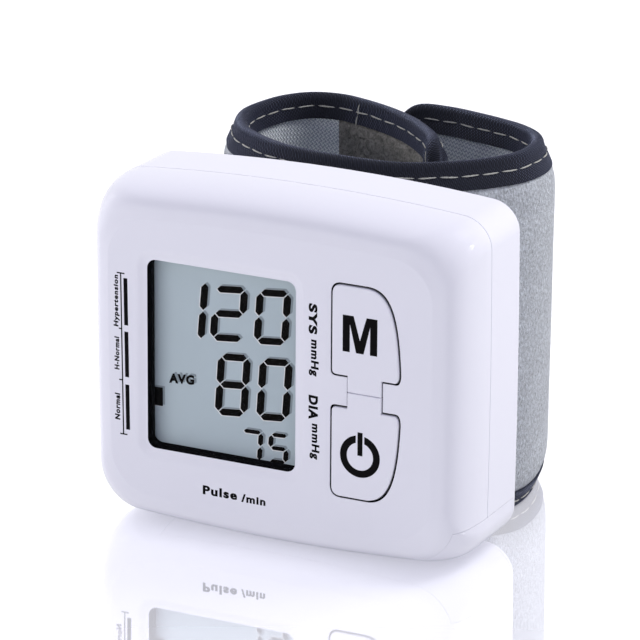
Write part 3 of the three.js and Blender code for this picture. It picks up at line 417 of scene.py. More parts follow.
# Shrink-wrapped PVC sleeve of a cell: even colour under a thin gloss
CELL_SLEEVE = Finish("pvc_cell_sleeve", "3F7F5A", 0.28, 1.53, grain_mm=1.5, mottle=0.06)
# Extruded PVC insulation: dull red
PVC_LEAD = Finish("pvc_lead_insulation", "8C2F22", 0.45, 1.53, grain_mm=0.6)
# Brushed polyester loop: pale grey, matt, with a nap that catches light at its edge
GREY_FLEECE = BrushedLoop(
    "brushed_polyester_loop", "BDC2C9", 0.95, 1.45, grain_depth_mm=0.65, mottle=0.44, gloss=0.1
)
# Woven nylon: blue-grey threads with a dull shine
BLUE_LINING = WovenNylon(
    "woven_nylon_lining", "CEDAF2", 0.7, 1.53, grain_depth_mm=0.24, mottle=0.55, gloss=0.3
)
# Ribbed polyester tape: blue-black, with ribs whose crests catch bluish light
DARK_TAPE = RibbedTape("ribbed_polyester_tape", "1B1D27", 0.7, grain_depth_mm=0.16, mottle=0.7, gloss=0.2)
# Matted hooks: dark grey-brown, rough and without any gloss
DARK_PILE = HookPile("matted_hook_pile", "84827D", 0.95, 1.45, grain_depth_mm=0.6, mottle=0.65, gloss=0.1)
# Twisted polyester sewing thread: bright, with a twist that breaks its highlight
SEWING_THREAD = Finish("twisted_polyester_thread", "A9A9A4", 0.5, 1.5, 0.0, 0.35, 0.12, 0.2, 0.8)


# Meshes


def link(name: str, data: bpy.types.ID) -> Piece:
    """Puts new data into the scene as an object."""
    made = bpy.data.objects.new(name, data)
    bpy.context.scene.collection.objects.link(made)
    return made


def mesh_object(
    name: str,
    shape: Solid,
    finishes: Sequence[Finish],
    smooth_degrees: float = 40.0,
    face_finish: Sequence[int] | None = None,
    strap_map: Sequence[Point] | None = None,
) -> Piece:
    """Makes an object from points in millimetres.

    Args:
        name: the piece's name.
        shape: its points and faces.
        finishes: its finishes; a tool has none.
        smooth_degrees: edges sharper than this stay sharp.
        face_finish: the finish's number for each face.
        strap_map: millimetres along and up the cuff for each point.

    Returns:
        The linked object.
    """
    mesh = bpy.data.meshes.new(name)
    mesh.from_pydata([tuple(float(c) * MM for c in p) for p in shape[0]], [], [tuple(f) for f in shape[1]])
    if strap_map is not None:
        layer = mesh.uv_layers.new(name=STRAP_MAP)
        corners = np.empty(len(mesh.loops), dtype=np.int32)
        mesh.loops.foreach_get("vertex_index", corners)
        layer.data.foreach_set("uv", np.asarray(strap_map, dtype=np.float32)[corners].ravel())
    for finish in finishes:
        mesh.materials.append(material_of(finish))
    if face_finish is not None:
        mesh.polygons.foreach_set("material_index", np.asarray(face_finish, dtype=np.int32))
    face_out(mesh)
    smooth(mesh, smooth_degrees)
    return link(name, mesh)


def face_out(mesh: bpy.types.Mesh) -> None:
    """Turns a closed mesh's faces outwards.

    Args:
        mesh: the mesh.
    """
    work = bmesh.new()
    work.from_mesh(mesh)
    bmesh.ops.recalc_face_normals(work, faces=work.faces)
    work.to_mesh(mesh)
    work.free()


def smooth(mesh: bpy.types.Mesh, degrees: float) -> None:
    """Shades a mesh smoothly except over edges sharper than an angle."""
    mesh.shade_smooth()
    mesh.set_sharp_from_angle(angle=math.radians(degrees))


def skin(rings: Sequence[Ring], closed: bool = False) -> Solid:
    """Joins rings of equal length with a skin of quads.

    Args:
        rings: arrays of points.
        closed: joins the last ring to the first; otherwise both ends get a flat face.

    Returns:
        All points and all faces.
    """
    count, total = len(rings[0]), len(rings) * len(rings[0])
    faces: list[list[int]] = []
    for here in range(0, total if closed else total - count, count):
        there = (here + count) % total
        for i in range(count):
            j = (i + 1) % count
            faces.append([here + i, here + j, there + j, there + i])
    if not closed:
        faces += [list(range(count)), list(range(total - 1, total - count - 1, -1))]
    return np.concatenate(rings), faces


def merged(solids: Iterable[Solid]) -> Solid:
    """Puts several solids into one mesh.

    Args:
        solids: the points and faces of each.

    Returns:
        All points and all faces.
    """
    points: list[np.ndarray] = []
    faces: list[list[int]] = []
    start = 0
    for more, quads in solids:
        points.append(more)
        faces += [[start + i for i in face] for face in quads]
        start += len(more)
    return np.concatenate(points), faces


def standing(outline: Sequence[Point], depth: float) -> Ring:
    """Stands an outline in X and Z upright at a depth."""
    x, z = np.asarray(outline, dtype=float).T
    return np.column_stack([x, np.full(len(x), PANEL_Y + depth), z])


def layered(outlines: Sequence[tuple[float, Sequence[Point]]]) -> Solid:
    """Skins outlines in X and Z, each with its depth, front to back."""
    return skin([standing(outline, depth) for depth, outline in outlines])


def prism(outline: Sequence[Point], front: float, back: float) -> Solid:
    """Gives a straight bar of one outline between two depths."""
    return layered([(front, outline), (back, outline)])


def box_points(x0: float, x1: float, y0: float, y1: float, z0: float, z1: float) -> Solid:
    """Gives a box between two depths, as a tool or a rib."""
    return prism([(x0, z0), (x1, z0), (x1, z1), (x0, z1)], y0, y1)


def rod_points(radius: float, front: float, back: float, place: Point, sides: int = 32) -> Solid:
    """Gives a rod along Y between two depths."""
    turn = np.linspace(0, 2 * math.pi, sides, endpoint=False)
    return prism(np.array(place) + radius * np.column_stack([np.cos(turn), np.sin(turn)]), front, back)


def rounded_outline(box: Box, radius: float, steps: int = 10) -> np.ndarray:
    """Gives a rectangle with round corners.

    Args:
        box: its left, right, bottom and top.
        radius: the corners' radius.
        steps: steps of each corner.

    Returns:
        Points in X and Z.
    """
    left, right, low, high = box[0] + radius, box[1] - radius, box[2] + radius, box[3] - radius
    corners = []
    for quarter, middle in enumerate([(right, high), (left, high), (left, low), (right, low)]):
        turn = (quarter + np.arange(steps + 1) / steps) * QUARTER
        corners.append(np.array(middle) + radius * np.column_stack([np.cos(turn), np.sin(turn)]))
    return np.concatenate(corners)


def spread_sides(outline: np.ndarray, corner_points: int, steps: int) -> np.ndarray:
    """Adds points along the four straight sides of a rounded rectangle.

    Args:
        outline: its points, corner by corner.
        corner_points: how many points each corner has.
        steps: steps of each straight side.

    Returns:
        The fuller outline.
    """
    arcs = outline.reshape(4, corner_points, 2)
    shares = np.arange(1, steps)[:, None] / steps
    sides = [arc[-1] + (after[0] - arc[-1]) * shares for arc, after in zip(arcs, np.roll(arcs, -1, axis=0))]
    return np.concatenate([part for pair in zip(arcs, sides) for part in pair])


def bend(handles: Sequence[Point], steps: int) -> list[np.ndarray]:
    """Gives points on a Bézier curve, both ends among them.

    Args:
        handles: its three or four control points.
        steps: steps along it.

    Returns:
        The points.
    """
    t = np.linspace(0, 1, steps + 1)[:, None]
    level = [np.array(handle, dtype=float) for handle in handles]
    while len(level) > 1:
        level = [a * (1 - t) + b * t for a, b in zip(level, level[1:])]
    return list(level[0])


def travelled(path: np.ndarray) -> np.ndarray:
    """Gives how far along a path each of its points lies."""
    return np.concatenate([[0], np.cumsum(np.linalg.norm(np.diff(path, axis=0), axis=1))])


def foam_frame(
    name: str, outer: np.ndarray, inner: np.ndarray, depths: Point, smooth_degrees: float = 40.0
) -> Piece:
    """Builds a flat black frame between two outlines of equal length.

    Args:
        name: the piece's name.
        outer: its outer outline.
        inner: its inner outline.
        depths: where its front and its back lie.
        smooth_degrees: edges sharper than this stay sharp.

    Returns:
        The frame.
    """
    front, back = depths
    rings = [standing(outer, front), standing(inner, front), standing(inner, back), standing(outer, back)]
    return mesh_object(name, skin(rings, closed=True), [BLACK_FOAM], smooth_degrees)


def printed(
    name: str,
    outlines: Sequence[Sequence[Point]],
    depth: float,
    finish: Finish = PRINT_INK,
    thickness: float = 0.025,
) -> Piece:
    """Lays flat shapes of ink on a surface that faces the front.

    Args:
        name: the piece's name.
        outlines: closed outlines in X and Z.
        depth: the surface's depth.
        finish: the ink.
        thickness: how far the ink stands up.

    Returns:
        One object with all shapes.
    """
    sunk = 0.01
    shapes = merged(prism(outline, depth - thickness, depth + sunk) for outline in outlines)
    return mesh_object(name, shapes, [finish], 30)


class Cut(Enum):
    """How one solid changes another."""

    AWAY = "DIFFERENCE"
    KEEP = "INTERSECT"
    JOIN = "UNION"


def carve(target: Piece, how: Cut, *shapes: Solid) -> None:
    """Changes a solid by others, one after another, and throws the tools away.

    Args:
        target: the solid that stays.
        how: what the tools do.
        *shapes: the tools.
    """
    for shape in shapes:
        tool = mesh_object("tool", shape, [])
        modifier = target.modifiers.new("carve", "BOOLEAN")
        modifier.object = tool
        modifier.operation = how.value
        modifier.solver = "EXACT"
        evaluated = target.evaluated_get(bpy.context.evaluated_depsgraph_get())
        mesh = bpy.data.meshes.new_from_object(evaluated)
        target.modifiers.clear()
        target.data = mesh
        bpy.data.objects.remove(tool)


def settled(target: Piece, degrees: float) -> Piece:
    """Smooths a carved solid up to an angle, lets its large faces stay flat and gives it back.

    Args:
        target: the solid.
        degrees: edges sharper than this stay sharp.

    Returns:
        The same solid.
    """
    smooth(target.data, degrees)
    weighted = target.modifiers.new("flat_faces_stay_flat", "WEIGHTED_NORMAL")
    weighted.keep_sharp = True
    weighted.weight = 100
    return target


# Housing


@dataclass
class Housing:
    """The two casings and the battery cover, which share one rounded outside."""

    width: float = 76.0
    height: float = 67.1
    depth: float = 26.5
    foot_cut: float = 0.4
    below: float = 9.0  # how far under the foot the inner surfaces and the cover's space run
    wall: float = 1.8
    corner_radius: float = 5.5
    least_radius: float = 0.3
    corner_steps: int = 18
    side_steps: int = 14
    top_arch: float = 1.9
    side_arch: float = 0.3
    left_lean: float = 0.8  # how much further out the left side stands at the top
    back_taper: float = 0.2
    back_rounding: float = 1.0
    seam: float = 13.4
    seam_gap: float = 0.03  # half the gap that shows, far tighter than the running gap of the solids
    edge_radius: float = 0.16
    inset_x: float = 5.3
    inset_z: float = 6.1
    panel_radius: float = 8.0
    round_bulge: float = 9.0  # how much rounder the corners are halfway round than at both ends
    rounding: float = 12.6
    rounding_power: float = 1.3
    crease: float = 1.7  # how far a straight fall from the panel's edge drops in all
    flat_share: float = 1.04  # a flat ring just inside the panel's edge keeps the crease crisp
    inner_steps: int = 12
    window: Box = (-25.38, 5.1, 15.8, 52.2)
    window_radius: float = 1.8
    dish_width: float = 2.1
    dish_depth: float = 0.55
    lip: float = 0.6
    pocket_margin: float = 2.15
    pocket_past_wall: float = 0.4
    cover_x: float = -24.0
    cover_y: Point = (2.6, 25.0)
    cover_top: float = 8.6
    cover_floor: float = 1.9
    cover_front_wall: float = 4.4  # the depth at which the cover's hollow starts
    flat_end: float = 27.05
    bay: Point = (25.55, 26.75)
    bay_height: Point = (13.0, 13.9)
    bay_foot: float = 2.2
    bay_front: float = 4.1
    bay_overlaps: Point = (0.3, 0.4)  # how far the bay's two halves reach over the seam
    screw_x: float = 31.5
    screw_z: Point = (57.6, 17.6)
    front_boss: Point = (2.6, 2.6)  # radius and front end
    rear_boss: Point = (2.9, 0.6)  # radius and how far before the back it ends
    screw_hole: float = 1.3
    screw_well: Point = (2.2, 15.85)  # radius and the depth of its floor
    board_boss: Point = (2.0, 8.0)  # radius and back end
    board_screw_x: Point = (-9.85, 19.3)
    board_screw_z: float = 58.2
    post_x: float = 11.0
    post_z: Point = (21.5, 44.5)
    post_hole: float = 2.3
    nozzle: Point = (8.0, 37.6)
    nozzle_hole: float = 1.5
    back_cut: float = 4.0  # how far before the back the cuff's holes start
    bore_end: float = 40.0  # past the back, for the rods that bore through it

    def ring(self, y: float, inset: float, rounding: float, extra: float = 0.0) -> Ring:
        """Gives one ring of the outside, or of the surface inside it.

        Args:
            y: its depth.
            inset: distance inside the outside.
            rounding: 1 at the panel's edge and 0 behind the rounding.
            extra: further inset of the back.

        Returns:
            Points in the row frame.
        """
        half_width = self.width / 2 - inset - self.inset_x * rounding - extra
        half_height = self.height / 2 - inset - self.inset_z * rounding - extra
        radius = self.corner_radius + (self.panel_radius - self.corner_radius) * rounding
        radius += self.round_bulge * rounding * (1 - rounding)
        radius = max(radius - inset - extra, self.least_radius)
        box = (-half_width, half_width, -half_height, half_height)
        outline = rounded_outline(box, radius, self.corner_steps)
        x, z = spread_sides(outline, self.corner_steps + 1, self.side_steps).T
        share_x, share_z = x / (self.width / 2), z / (self.height / 2)
        x = x - self.side_arch * share_z**2 * share_x - self.left_lean / 4 * (1 - share_x) * (1 + share_z)
        z = z - self.top_arch * share_x**2 * share_z + self.height / 2 - self.foot_cut
        floor = 0.0 if inset < self.wall / 2 else -self.below
        return standing(np.column_stack([x, np.maximum(z, floor)]), y)

    def front_rings(self, inset: float, steps: int = 30) -> list[Ring]:
        """Gives the rings from the flat panel to the end of the rounding.

        Args:
            inset: distance inside the outside.
            steps: steps of the rounding.

        Returns:
            Rings, front to back.
        """
        rings = [self.ring(inset, inset, self.flat_share)]
        for angle in np.linspace(0, QUARTER, steps + 1):
            share = math.sin(angle)
            fall = (1 - math.cos(angle)) ** (3 * self.rounding_power)
            fall = (fall + (self.crease / self.rounding * share) ** 3) ** (1 / 3)
            rings.append(self.ring(inset + (self.rounding - inset) * min(fall, 1.0), inset, 1 - share))
        return rings

    def edge_rings(self, y: float, towards: float) -> list[Ring]:
        """Gives the rings of a softened edge at a seam.

        Args:
            y: the depth of the seam's face.
            towards: 1 if the casing lies behind the face, -1 if it lies in front of it.

        Returns:
            Rings from the outside over the edge.
        """
        rings = []
        for angle in np.linspace(0, QUARTER, 4):
            drop, inwards = (self.edge_radius * (1 - way(angle)) for way in (math.sin, math.cos))
            rings.append(self.ring(y + towards * drop, inwards, 0))
        return rings

    def front_casing(self, keys: "Keys") -> Piece:
        """Builds the front casing with its window and key openings.

        Args:
            keys: the keys that the openings fit.

        Returns:
            The casing.
        """
        face = self.seam - self.seam_gap
        rings = self.front_rings(0) + self.edge_rings(face, -1) + [self.ring(face, self.wall, 0)]
        rings += self.front_rings(self.wall, self.inner_steps)[::-1]
        casing = mesh_object("front_housing", skin(rings), [WHITE_ABS])
        carve(casing, Cut.AWAY, self.cover_space(self.seam_gap))
        radius, end = self.board_boss
        places = [(x, self.board_screw_z) for x in self.board_screw_x]
        carve(casing, Cut.JOIN, *(rod_points(radius, self.wall / 2, end, place) for place in places))
        carve(casing, Cut.JOIN, *(rod_points(*self.front_boss, face, place) for place in self.screw_places()))
        pocket = self.window_outline(self.pocket_margin)
        carve(casing, Cut.AWAY, prism(pocket, self.lip, self.wall + self.pocket_past_wall))
        carve(casing, Cut.AWAY, self.window_tool())
        openings = [keys.opening(up) for up in (1, -1)]
        carve(casing, Cut.AWAY, *(prism(opening, -3.0, self.wall + 3.0) for opening in openings))
        return settled(casing, 35)

    def window_outline(self, margin: float) -> np.ndarray:
        """Gives the window's outline, larger all round by a margin."""
        x0, x1, z0, z1 = self.window
        radius = self.window_radius + max(margin, 0.0) * 0.8
        return rounded_outline((x0 - margin, x1 + margin, z0 - margin, z1 + margin), radius, 12)

    def window_tool(self) -> Solid:
        """Gives the tool for the opening with its softly dished border."""
        layers = [(-1.0, self.window_outline(self.dish_width + 0.6))]
        layers.append((-0.02, self.window_outline(self.dish_width + 0.3)))
        for share in np.arange(15) / 14:
            fall = 0.5 - 0.5 * math.cos(math.pi * min(share * 1.05, 1.0))
            outline = self.window_outline(self.dish_width * (1 - share))
            layers.append((self.dish_depth * fall + 0.001, outline))
        layers.append((self.wall + 3.0, self.window_outline(0.0)))
        return layered(layers)

    def cover_space(self, clearance: float) -> Solid:
        """Gives the battery cover's space, larger or smaller by a clearance."""
        x0, y0, y1 = self.cover_x - clearance, self.cover_y[0] - clearance, self.cover_y[1] + clearance
        return box_points(x0, FAR, y0, y1, -self.below, self.cover_top + clearance)

    def screw_places(self) -> list[Point]:
        """Lists where the four casing screws stand."""
        return [(side * self.screw_x, z) for z in self.screw_z for side in (-1, 1)]

    def back_ring(self, inset: float, angle: float) -> Ring:
        """Gives a ring of the back's rounding: 0 where it starts and a quarter turn at the back."""
        y = self.depth - inset - self.back_rounding * (1 - math.sin(angle))
        return self.ring(y, inset, 0, self.back_taper + self.back_rounding * (1 - math.cos(angle)))

    def rear_casing(self) -> Piece:
        """Builds the rear casing with its battery bay, screw wells and the cuff's holes."""
        face = self.seam + self.seam_gap
        outside = [self.ring(face, self.wall, 0)] + self.edge_rings(face, 1)[::-1]
        outside += [self.back_ring(0.0, angle) for angle in np.linspace(0, QUARTER, 7)]
        inside = [self.back_ring(self.wall, angle) for angle in (0.0, QUARTER)]
        casing = mesh_object("rear_housing", self.bowl(outside, inside), [WHITE_ABS])
        inner, outer = self.bay
        low, high = self.bay_height
        behind, before = self.bay_overlaps
        foot = self.bay_foot
        for x0, x1, z0 in ((-outer, outer, low), (-outer, -inner, foot), (inner, outer, foot)):
            spans = ((self.seam + behind, self.depth - self.wall / 2), (self.bay_front, self.seam + before))
            carve(casing, Cut.JOIN, *(box_points(x0, x1, y0, y1, z0, high) for y0, y1 in spans))
        radius, short = self.rear_boss
        places = self.screw_places()
        carve(casing, Cut.JOIN, *(rod_points(radius, face, self.depth - short, place) for place in places))
        radius, floor = self.screw_well
        for place in places:
            carve(casing, Cut.AWAY, rod_points(self.screw_hole, -1.0, self.bore_end, place))
            carve(casing, Cut.AWAY, rod_points(radius, floor, self.bore_end, place))
        holes = [(self.post_hole, (side * self.post_x, z)) for z in self.post_z for side in (-1, 1)]
        holes.append((self.nozzle_hole, self.nozzle))
        start = self.depth - self.back_cut
        carve(casing, Cut.AWAY, *(rod_points(radius, start, self.bore_end, place) for radius, place in holes))
        carve(casing, Cut.AWAY, self.cover_space(self.seam_gap))
        return settled(casing, 35)

    def bowl(self, outside: Sequence[Ring], inside: Sequence[Ring]) -> Solid:
        """Closes a rear shell.

        Args:
            outside: its rings from the inner rim over the outside to the back.
            inside: its two inner rings, the rearmost last.

        Returns:
            All points and all faces.
        """
        points, faces = skin(outside)
        del faces[-2]
        count, start = len(outside[0]), len(points)
        for i in range(count):
            j = (i + 1) % count
            faces.append([i, j, start + j, start + i])
            faces.append([start + i, start + j, start + count + j, start + count + i])
        faces.append([start + count + i for i in range(count)])
        return np.concatenate([points, *inside]), faces

    def battery_cover(self) -> Piece:
        """Builds the cover: the foot and the lower right side of the outside."""
        rings = self.front_rings(0) + [self.back_ring(0.0, 0.0), self.back_ring(0.0, QUARTER)]
        cover = mesh_object("battery_cover_shell", skin(rings), [WHITE_ABS])
        hollow = self.front_rings(self.wall, self.inner_steps)
        hollow.append(self.ring(self.depth - self.wall, self.wall, 0, self.back_taper))
        carve(cover, Cut.AWAY, skin(hollow))
        carve(cover, Cut.KEEP, self.cover_space(-self.seam_gap))
        room = box_points(-FAR, self.flat_end, self.cover_front_wall, FAR, self.cover_floor, FAR)
        carve(cover, Cut.AWAY, room)
        return settled(cover, 35)

    def build(self, keys: "Keys") -> None:
        """Builds the shells and puts them on their bodies.

        Args:
            keys: the keys that the front casing's openings fit.
        """
        shells = (
            (self.front_casing(keys), "monitor", "front_casing"),
            (self.rear_casing(), "monitor", "rear_casing"),
            (self.battery_cover(), "battery_cover", "battery_cover"),
        )
        for shell, body, node in shells:
            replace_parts(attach(shell, body), node)
            log.info("%s stands for %s", shell.name, node)


# Keys


@dataclass
class Keys:
    """The memory key and the power key, which meet at a narrow neck."""

    split: float = 33.35
    split_gap: float = 0.04  # half the gap between the two keys
    left: float = 12.8
    width: float = 13.4
    reach: float = 20.1
    neck_width: float = 6.8
    neck_left: float = 3.15
    neck_length: float = 3.1
    corner: float = 1.8
    proud: float = 0.35
    fillet: float = 0.3
    flange: float = 0.9
    flange_gap: float = 0.15
    flange_y: Point = (2.1, 2.9)
    opening_gap: float = 0.37
    gap_shade_y: Point = (0.14, 0.5)  # painted shade: a black ring that fills the gap round each key, to darken it
    gap_shade_clearance: float = 0.12
    gap_shade_margin: float = 0.02
    neck_gap: float = 0.2  # the neck is a film hinge, so only a faint line shows there
    boss_x: float = 19.3
    boss_reach: float = 11.5
    boss_radius: float = 2.0
    boss_y: Point = (2.3, 3.9)
    letter_box: Box = (15.0, 21.9, 41.1, 48.0)
    letter_stem: float = 1.42
    letter_shoulder: float = 2.15  # how wide the strokes are at the top
    letter_valley: float = 2.35  # how high the middle's notch ends
    letter_point: float = 0.74  # half the width of the middle's foot
    letter_armpit: float = 0.77  # how high the inner edges end, as a share of the height
    ring_centre: Point = (18.65, 21.55)
    ring_radii: Point = (4.0, 2.65)
    ring_gap: float = 0.86  # half the ring's opening at the top
    bar_box: Box = (-0.5, 0.5, 0.15, 4.6)  # from the ring's centre

    def outline(self, up: int, grow: float, split_gap: float, neck_grow: float | None = None) -> np.ndarray:
        """Gives a key's outline.

        Args:
            up: 1 for the memory key and -1 for the power key.
            grow: how much larger than the key, all round.
            split_gap: where the outline starts above the split line.
            neck_grow: how much larger at the neck, if that differs.

        Returns:
            Points in X and Z.
        """
        neck = grow if neck_grow is None else neck_grow
        left, right = self.left - grow, self.left + self.width + grow
        neck_left = self.left + self.neck_left - neck
        neck_right = self.left + self.neck_left + self.neck_width + neck
        bottom, top = self.neck_length - grow, self.reach + grow
        radius = self.corner + grow
        shoulder = [
            (right, bottom + radius),
            (right - self.width * 0.04, top - self.reach * 0.23),
            (self.left + self.width * 0.84 + grow, top),
            (self.left + self.width * 0.5 + grow / 2, top),
        ]
        points = [(neck_right, split_gap), (neck_right, bottom)]
        points += bend([(right - radius / 2, bottom), (right, bottom), (right, bottom + radius)], 8)
        points += bend(shoulder, 26)
        points += bend([(left + radius, top), (left, top), (left, top - radius)], 8)
        points += bend([(left, bottom + radius / 2), (left, bottom), (left + radius / 2, bottom)], 8)
        points += [(neck_left, bottom), (neck_left, split_gap)]
        return np.array([(x, self.split + up * z) for x, z in points])

    def opening(self, up: int) -> np.ndarray:
        """Gives the outline of the panel's opening round a key."""
        return self.outline(up, self.opening_gap, -0.05, self.neck_gap)

    def key(self, name: str, up: int) -> Piece:
        """Builds one key with its softened face, its flange and its boss.

        Args:
            name: the piece's name.
            up: 1 for the memory key and -1 for the power key.

        Returns:
            The key.
        """
        layers = []
        for angle in np.linspace(0, QUARTER, 6):
            grow = self.fillet * (math.sin(angle) - 1)
            depth = -self.proud + self.fillet * (1 - math.cos(angle))
            layers.append((depth, self.outline(up, grow, self.split_gap - grow * 0.5, grow * 0.4)))
        front, back = self.flange_y
        flange = self.outline(up, self.flange, self.flange_gap)
        layers += [(front, self.outline(up, 0, self.split_gap)), (front + 0.001, flange), (back, flange)]
        key = mesh_object(name, layered(layers), [WHITE_ABS])
        place = (self.boss_x, self.split + up * self.boss_reach)
        carve(key, Cut.JOIN, rod_points(self.boss_radius, *self.boss_y, place))
        return settled(key, 50)

    def gap_shade(self, name: str, up: int) -> Piece:
        """Builds a black ring in the gap round a key, just under the panel: painted shade that darkens the
        gap.

        Args:
            name: the piece's name.
            up: 1 for the memory key and -1 for the power key.

        Returns:
            The black ring.
        """
        margin = self.gap_shade_margin
        inner = self.outline(up, self.gap_shade_clearance, margin, self.neck_gap - 0.05)
        outer = self.outline(up, self.opening_gap - margin, 0.0, self.neck_gap - margin)
        return foam_frame(name, outer, inner, self.gap_shade_y, 30)

    def letter(self) -> Piece:
        """Draws the capital on the memory key."""
        left, right, low, high = self.letter_box
        middle, stem, shoulder = (left + right) / 2, self.letter_stem, self.letter_shoulder
        armpit = low + (high - low) * self.letter_armpit
        half = [(right - shoulder, high), (right, high), (right, low), (right - stem, low)]
        half += [(right - stem, armpit), (middle + self.letter_point, low)]
        mirrored = [(2 * middle - x, z) for x, z in half[::-1]]
        shape = [*half, *mirrored, (middle, low + self.letter_valley)]
        return printed("memory_legend", [shape], -self.proud)

    def standby(self) -> Piece:
        """Draws the ring and bar on the power key."""
        x, z = self.ring_centre
        ring: list[Point] = []
        for radius, way in zip(self.ring_radii, (1, -1)):
            start = math.asin(self.ring_gap / radius)
            turns = np.linspace(QUARTER - start, -3 * QUARTER + start, 61)[::way]
            ring += [(x + radius * math.cos(t), z + radius * math.sin(t)) for t in turns]
        x0, x1, z0, z1 = self.bar_box
        bar = [(x + a, z + b) for a, b in ((x0, z0), (x1, z0), (x1, z1), (x0, z1))]
        return printed("power_legend", [ring, bar], -self.proud)

    def build(self) -> None:
        """Builds both keys with their legends."""
        for name, up, legend in (("memory", 1, self.letter()), ("power", -1, self.standby())):
            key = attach(self.key(f"{name}_key_cap", up), f"{name}_key")
            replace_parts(key, f"{name}_key")
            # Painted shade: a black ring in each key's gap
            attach(self.gap_shade(f"{name}_key_seal", up), "monitor")
            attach(legend, f"{name}_key")
            log.info("%s_key_cap and its legend ride on %s_key", name, name)


# Printed legends


class Turn(Enum):
    """Which way a line of lettering reads."""

    LEVEL = 0
    DOWNWARDS = -90
    UPWARDS = 90


@dataclass(frozen=True)
class Legend:
    """One line of generic lettering, fitted into a box on the panel."""

    name: str
    words: str
    box: Box
    turn: Turn = Turn.LEVEL
    weight: float = 0.03  # how much bolder than the plain face, on each side of a stroke
    slant: float = 0.0
    rise: float = 0.0
    spacing: float = 1.18
    sunk: float = 0.01
    thickness: float = 0.035

    def build(self, depth: float = 0.0, finish: Finish = PRINT_INK) -> Piece:
        """Sets the words and lays them on the panel.

        Args:
            depth: the surface's depth.
            finish: the ink.

        Returns:
            The lettering as a thin mesh.
        """
        curve = bpy.data.curves.new(self.name, "FONT")
        curve.body = self.words
        curve.bevel_depth, curve.bevel_resolution = self.weight, 0
        curve.shear = self.slant
        curve.space_character = self.spacing
        curve.extrude = 0.01
        curve.resolution_u = 5
        source = link(f"{self.name}_source", curve)
        mesh = bpy.data.meshes.new_from_object(source.evaluated_get(bpy.context.evaluated_depsgraph_get()))
        bpy.data.objects.remove(source)
        mesh.transform(Matrix.Rotation(math.radians(self.turn.value), 4, "Z"))
        points = np.array([v.co for v in mesh.vertices])
        low, high = points.min(0), points.max(0)
        x0, x1, z0, z1 = self.box
        for vertex, (a, b, c) in zip(mesh.vertices, (points - low) / (high - low)):
            x, y = x0 + a * (x1 - x0), PANEL_Y + depth + self.sunk - c * self.thickness
            vertex.co = Vector((x, y, z0 + b * (z1 - z0) + (x - x0) * self.rise)) * MM
        mesh.name = self.name
        mesh.materials.clear()
        mesh.materials.append(material_of(finish))
        return link(self.name, mesh)


@dataclass
class PanelPrint:
    """The lettering and the scale printed on the panel."""

    legends: tuple[Legend, ...] = (
        Legend("systolic_legend", "SYS", (7.97, 9.72, 43.25, 49.0), Turn.DOWNWARDS, 0.055, 0.05),
        Legend("systolic_unit", "mmHg", (8.05, 10.05, 35.25, 42.2), Turn.DOWNWARDS, 0.045, 0.05),
        Legend("diastolic_legend", "DIA", (8.05, 9.95, 26.95, 31.6), Turn.DOWNWARDS, 0.055, 0.05),
        Legend("diastolic_unit", "mmHg", (8.3, 10.3, 19.35, 26.2), Turn.DOWNWARDS, 0.045, 0.05),
        Legend("pulse_legend", "Pulse", (-13.62, -6.5, 8.68, 10.45), Turn.LEVEL, 0.045),
        Legend("pulse_unit", "/min", (-5.64, -0.65, 8.55, 10.15), Turn.LEVEL, 0.045),
        Legend("scale_high", "Hypertension", (-32.1, -30.85, 38.4, 48.35), Turn.UPWARDS, 0.05, 0.06),
        Legend("scale_raised", "H-Normal", (-31.97, -30.95, 30.05, 36.45), Turn.UPWARDS, 0.05, 0.06),
        Legend("scale_normal", "Normal", (-31.95, -30.85, 20.3, 25.5), Turn.UPWARDS, 0.05, 0.06),
    )
    line_x: float = -30.58
    line_width: float = 0.24
    lean: float = 0.0134  # the scale drifts to the right as it comes down
    top: float = 48.9
    ticks: tuple[Place, ...] = (  # height, left and right end
        (48.82, -0.8, 0.8), (38.12, -0.58, 0.1), (28.2, -0.72, 0.1), (17.67, -0.7, 0.8),
    )
    bars: tuple[Point, ...] = ((38.9, 47.95), (28.9, 37.66), (18.66, 27.42))
    bar_x: Point = (0.57, 1.37)

    def build(self) -> None:
        """Prints everything on the monitor's panel."""
        for legend in self.legends:
            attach(legend.build(), "monitor")
            log.info("%s is printed on the panel", legend.name)
        half = self.line_width / 2
        strokes = [self.stroke(-half, half, self.ticks[-1][0], self.ticks[0][0])]
        strokes += [self.stroke(left, right, z - half, z + half) for z, left, right in self.ticks]
        strokes += [self.stroke(*self.bar_x, low, high) for low, high in self.bars]
        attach(printed("pressure_scale", strokes, 0.0), "monitor")

    def stroke(self, x0: float, x1: float, z0: float, z1: float) -> list[Point]:
        """Gives a straight stroke, with x counted from the scale's line."""
        corners = ((x0, z0), (x1, z0), (x1, z1), (x0, z1))
        return [(self.line_x + x + self.lean * (self.top - z), z) for x, z in corners]


# Display

DRIVEN = {"0": "abcdef", "1": "bc", "2": "abged", "5": "afgcd", "7": "abc", "8": "abcdefg"}


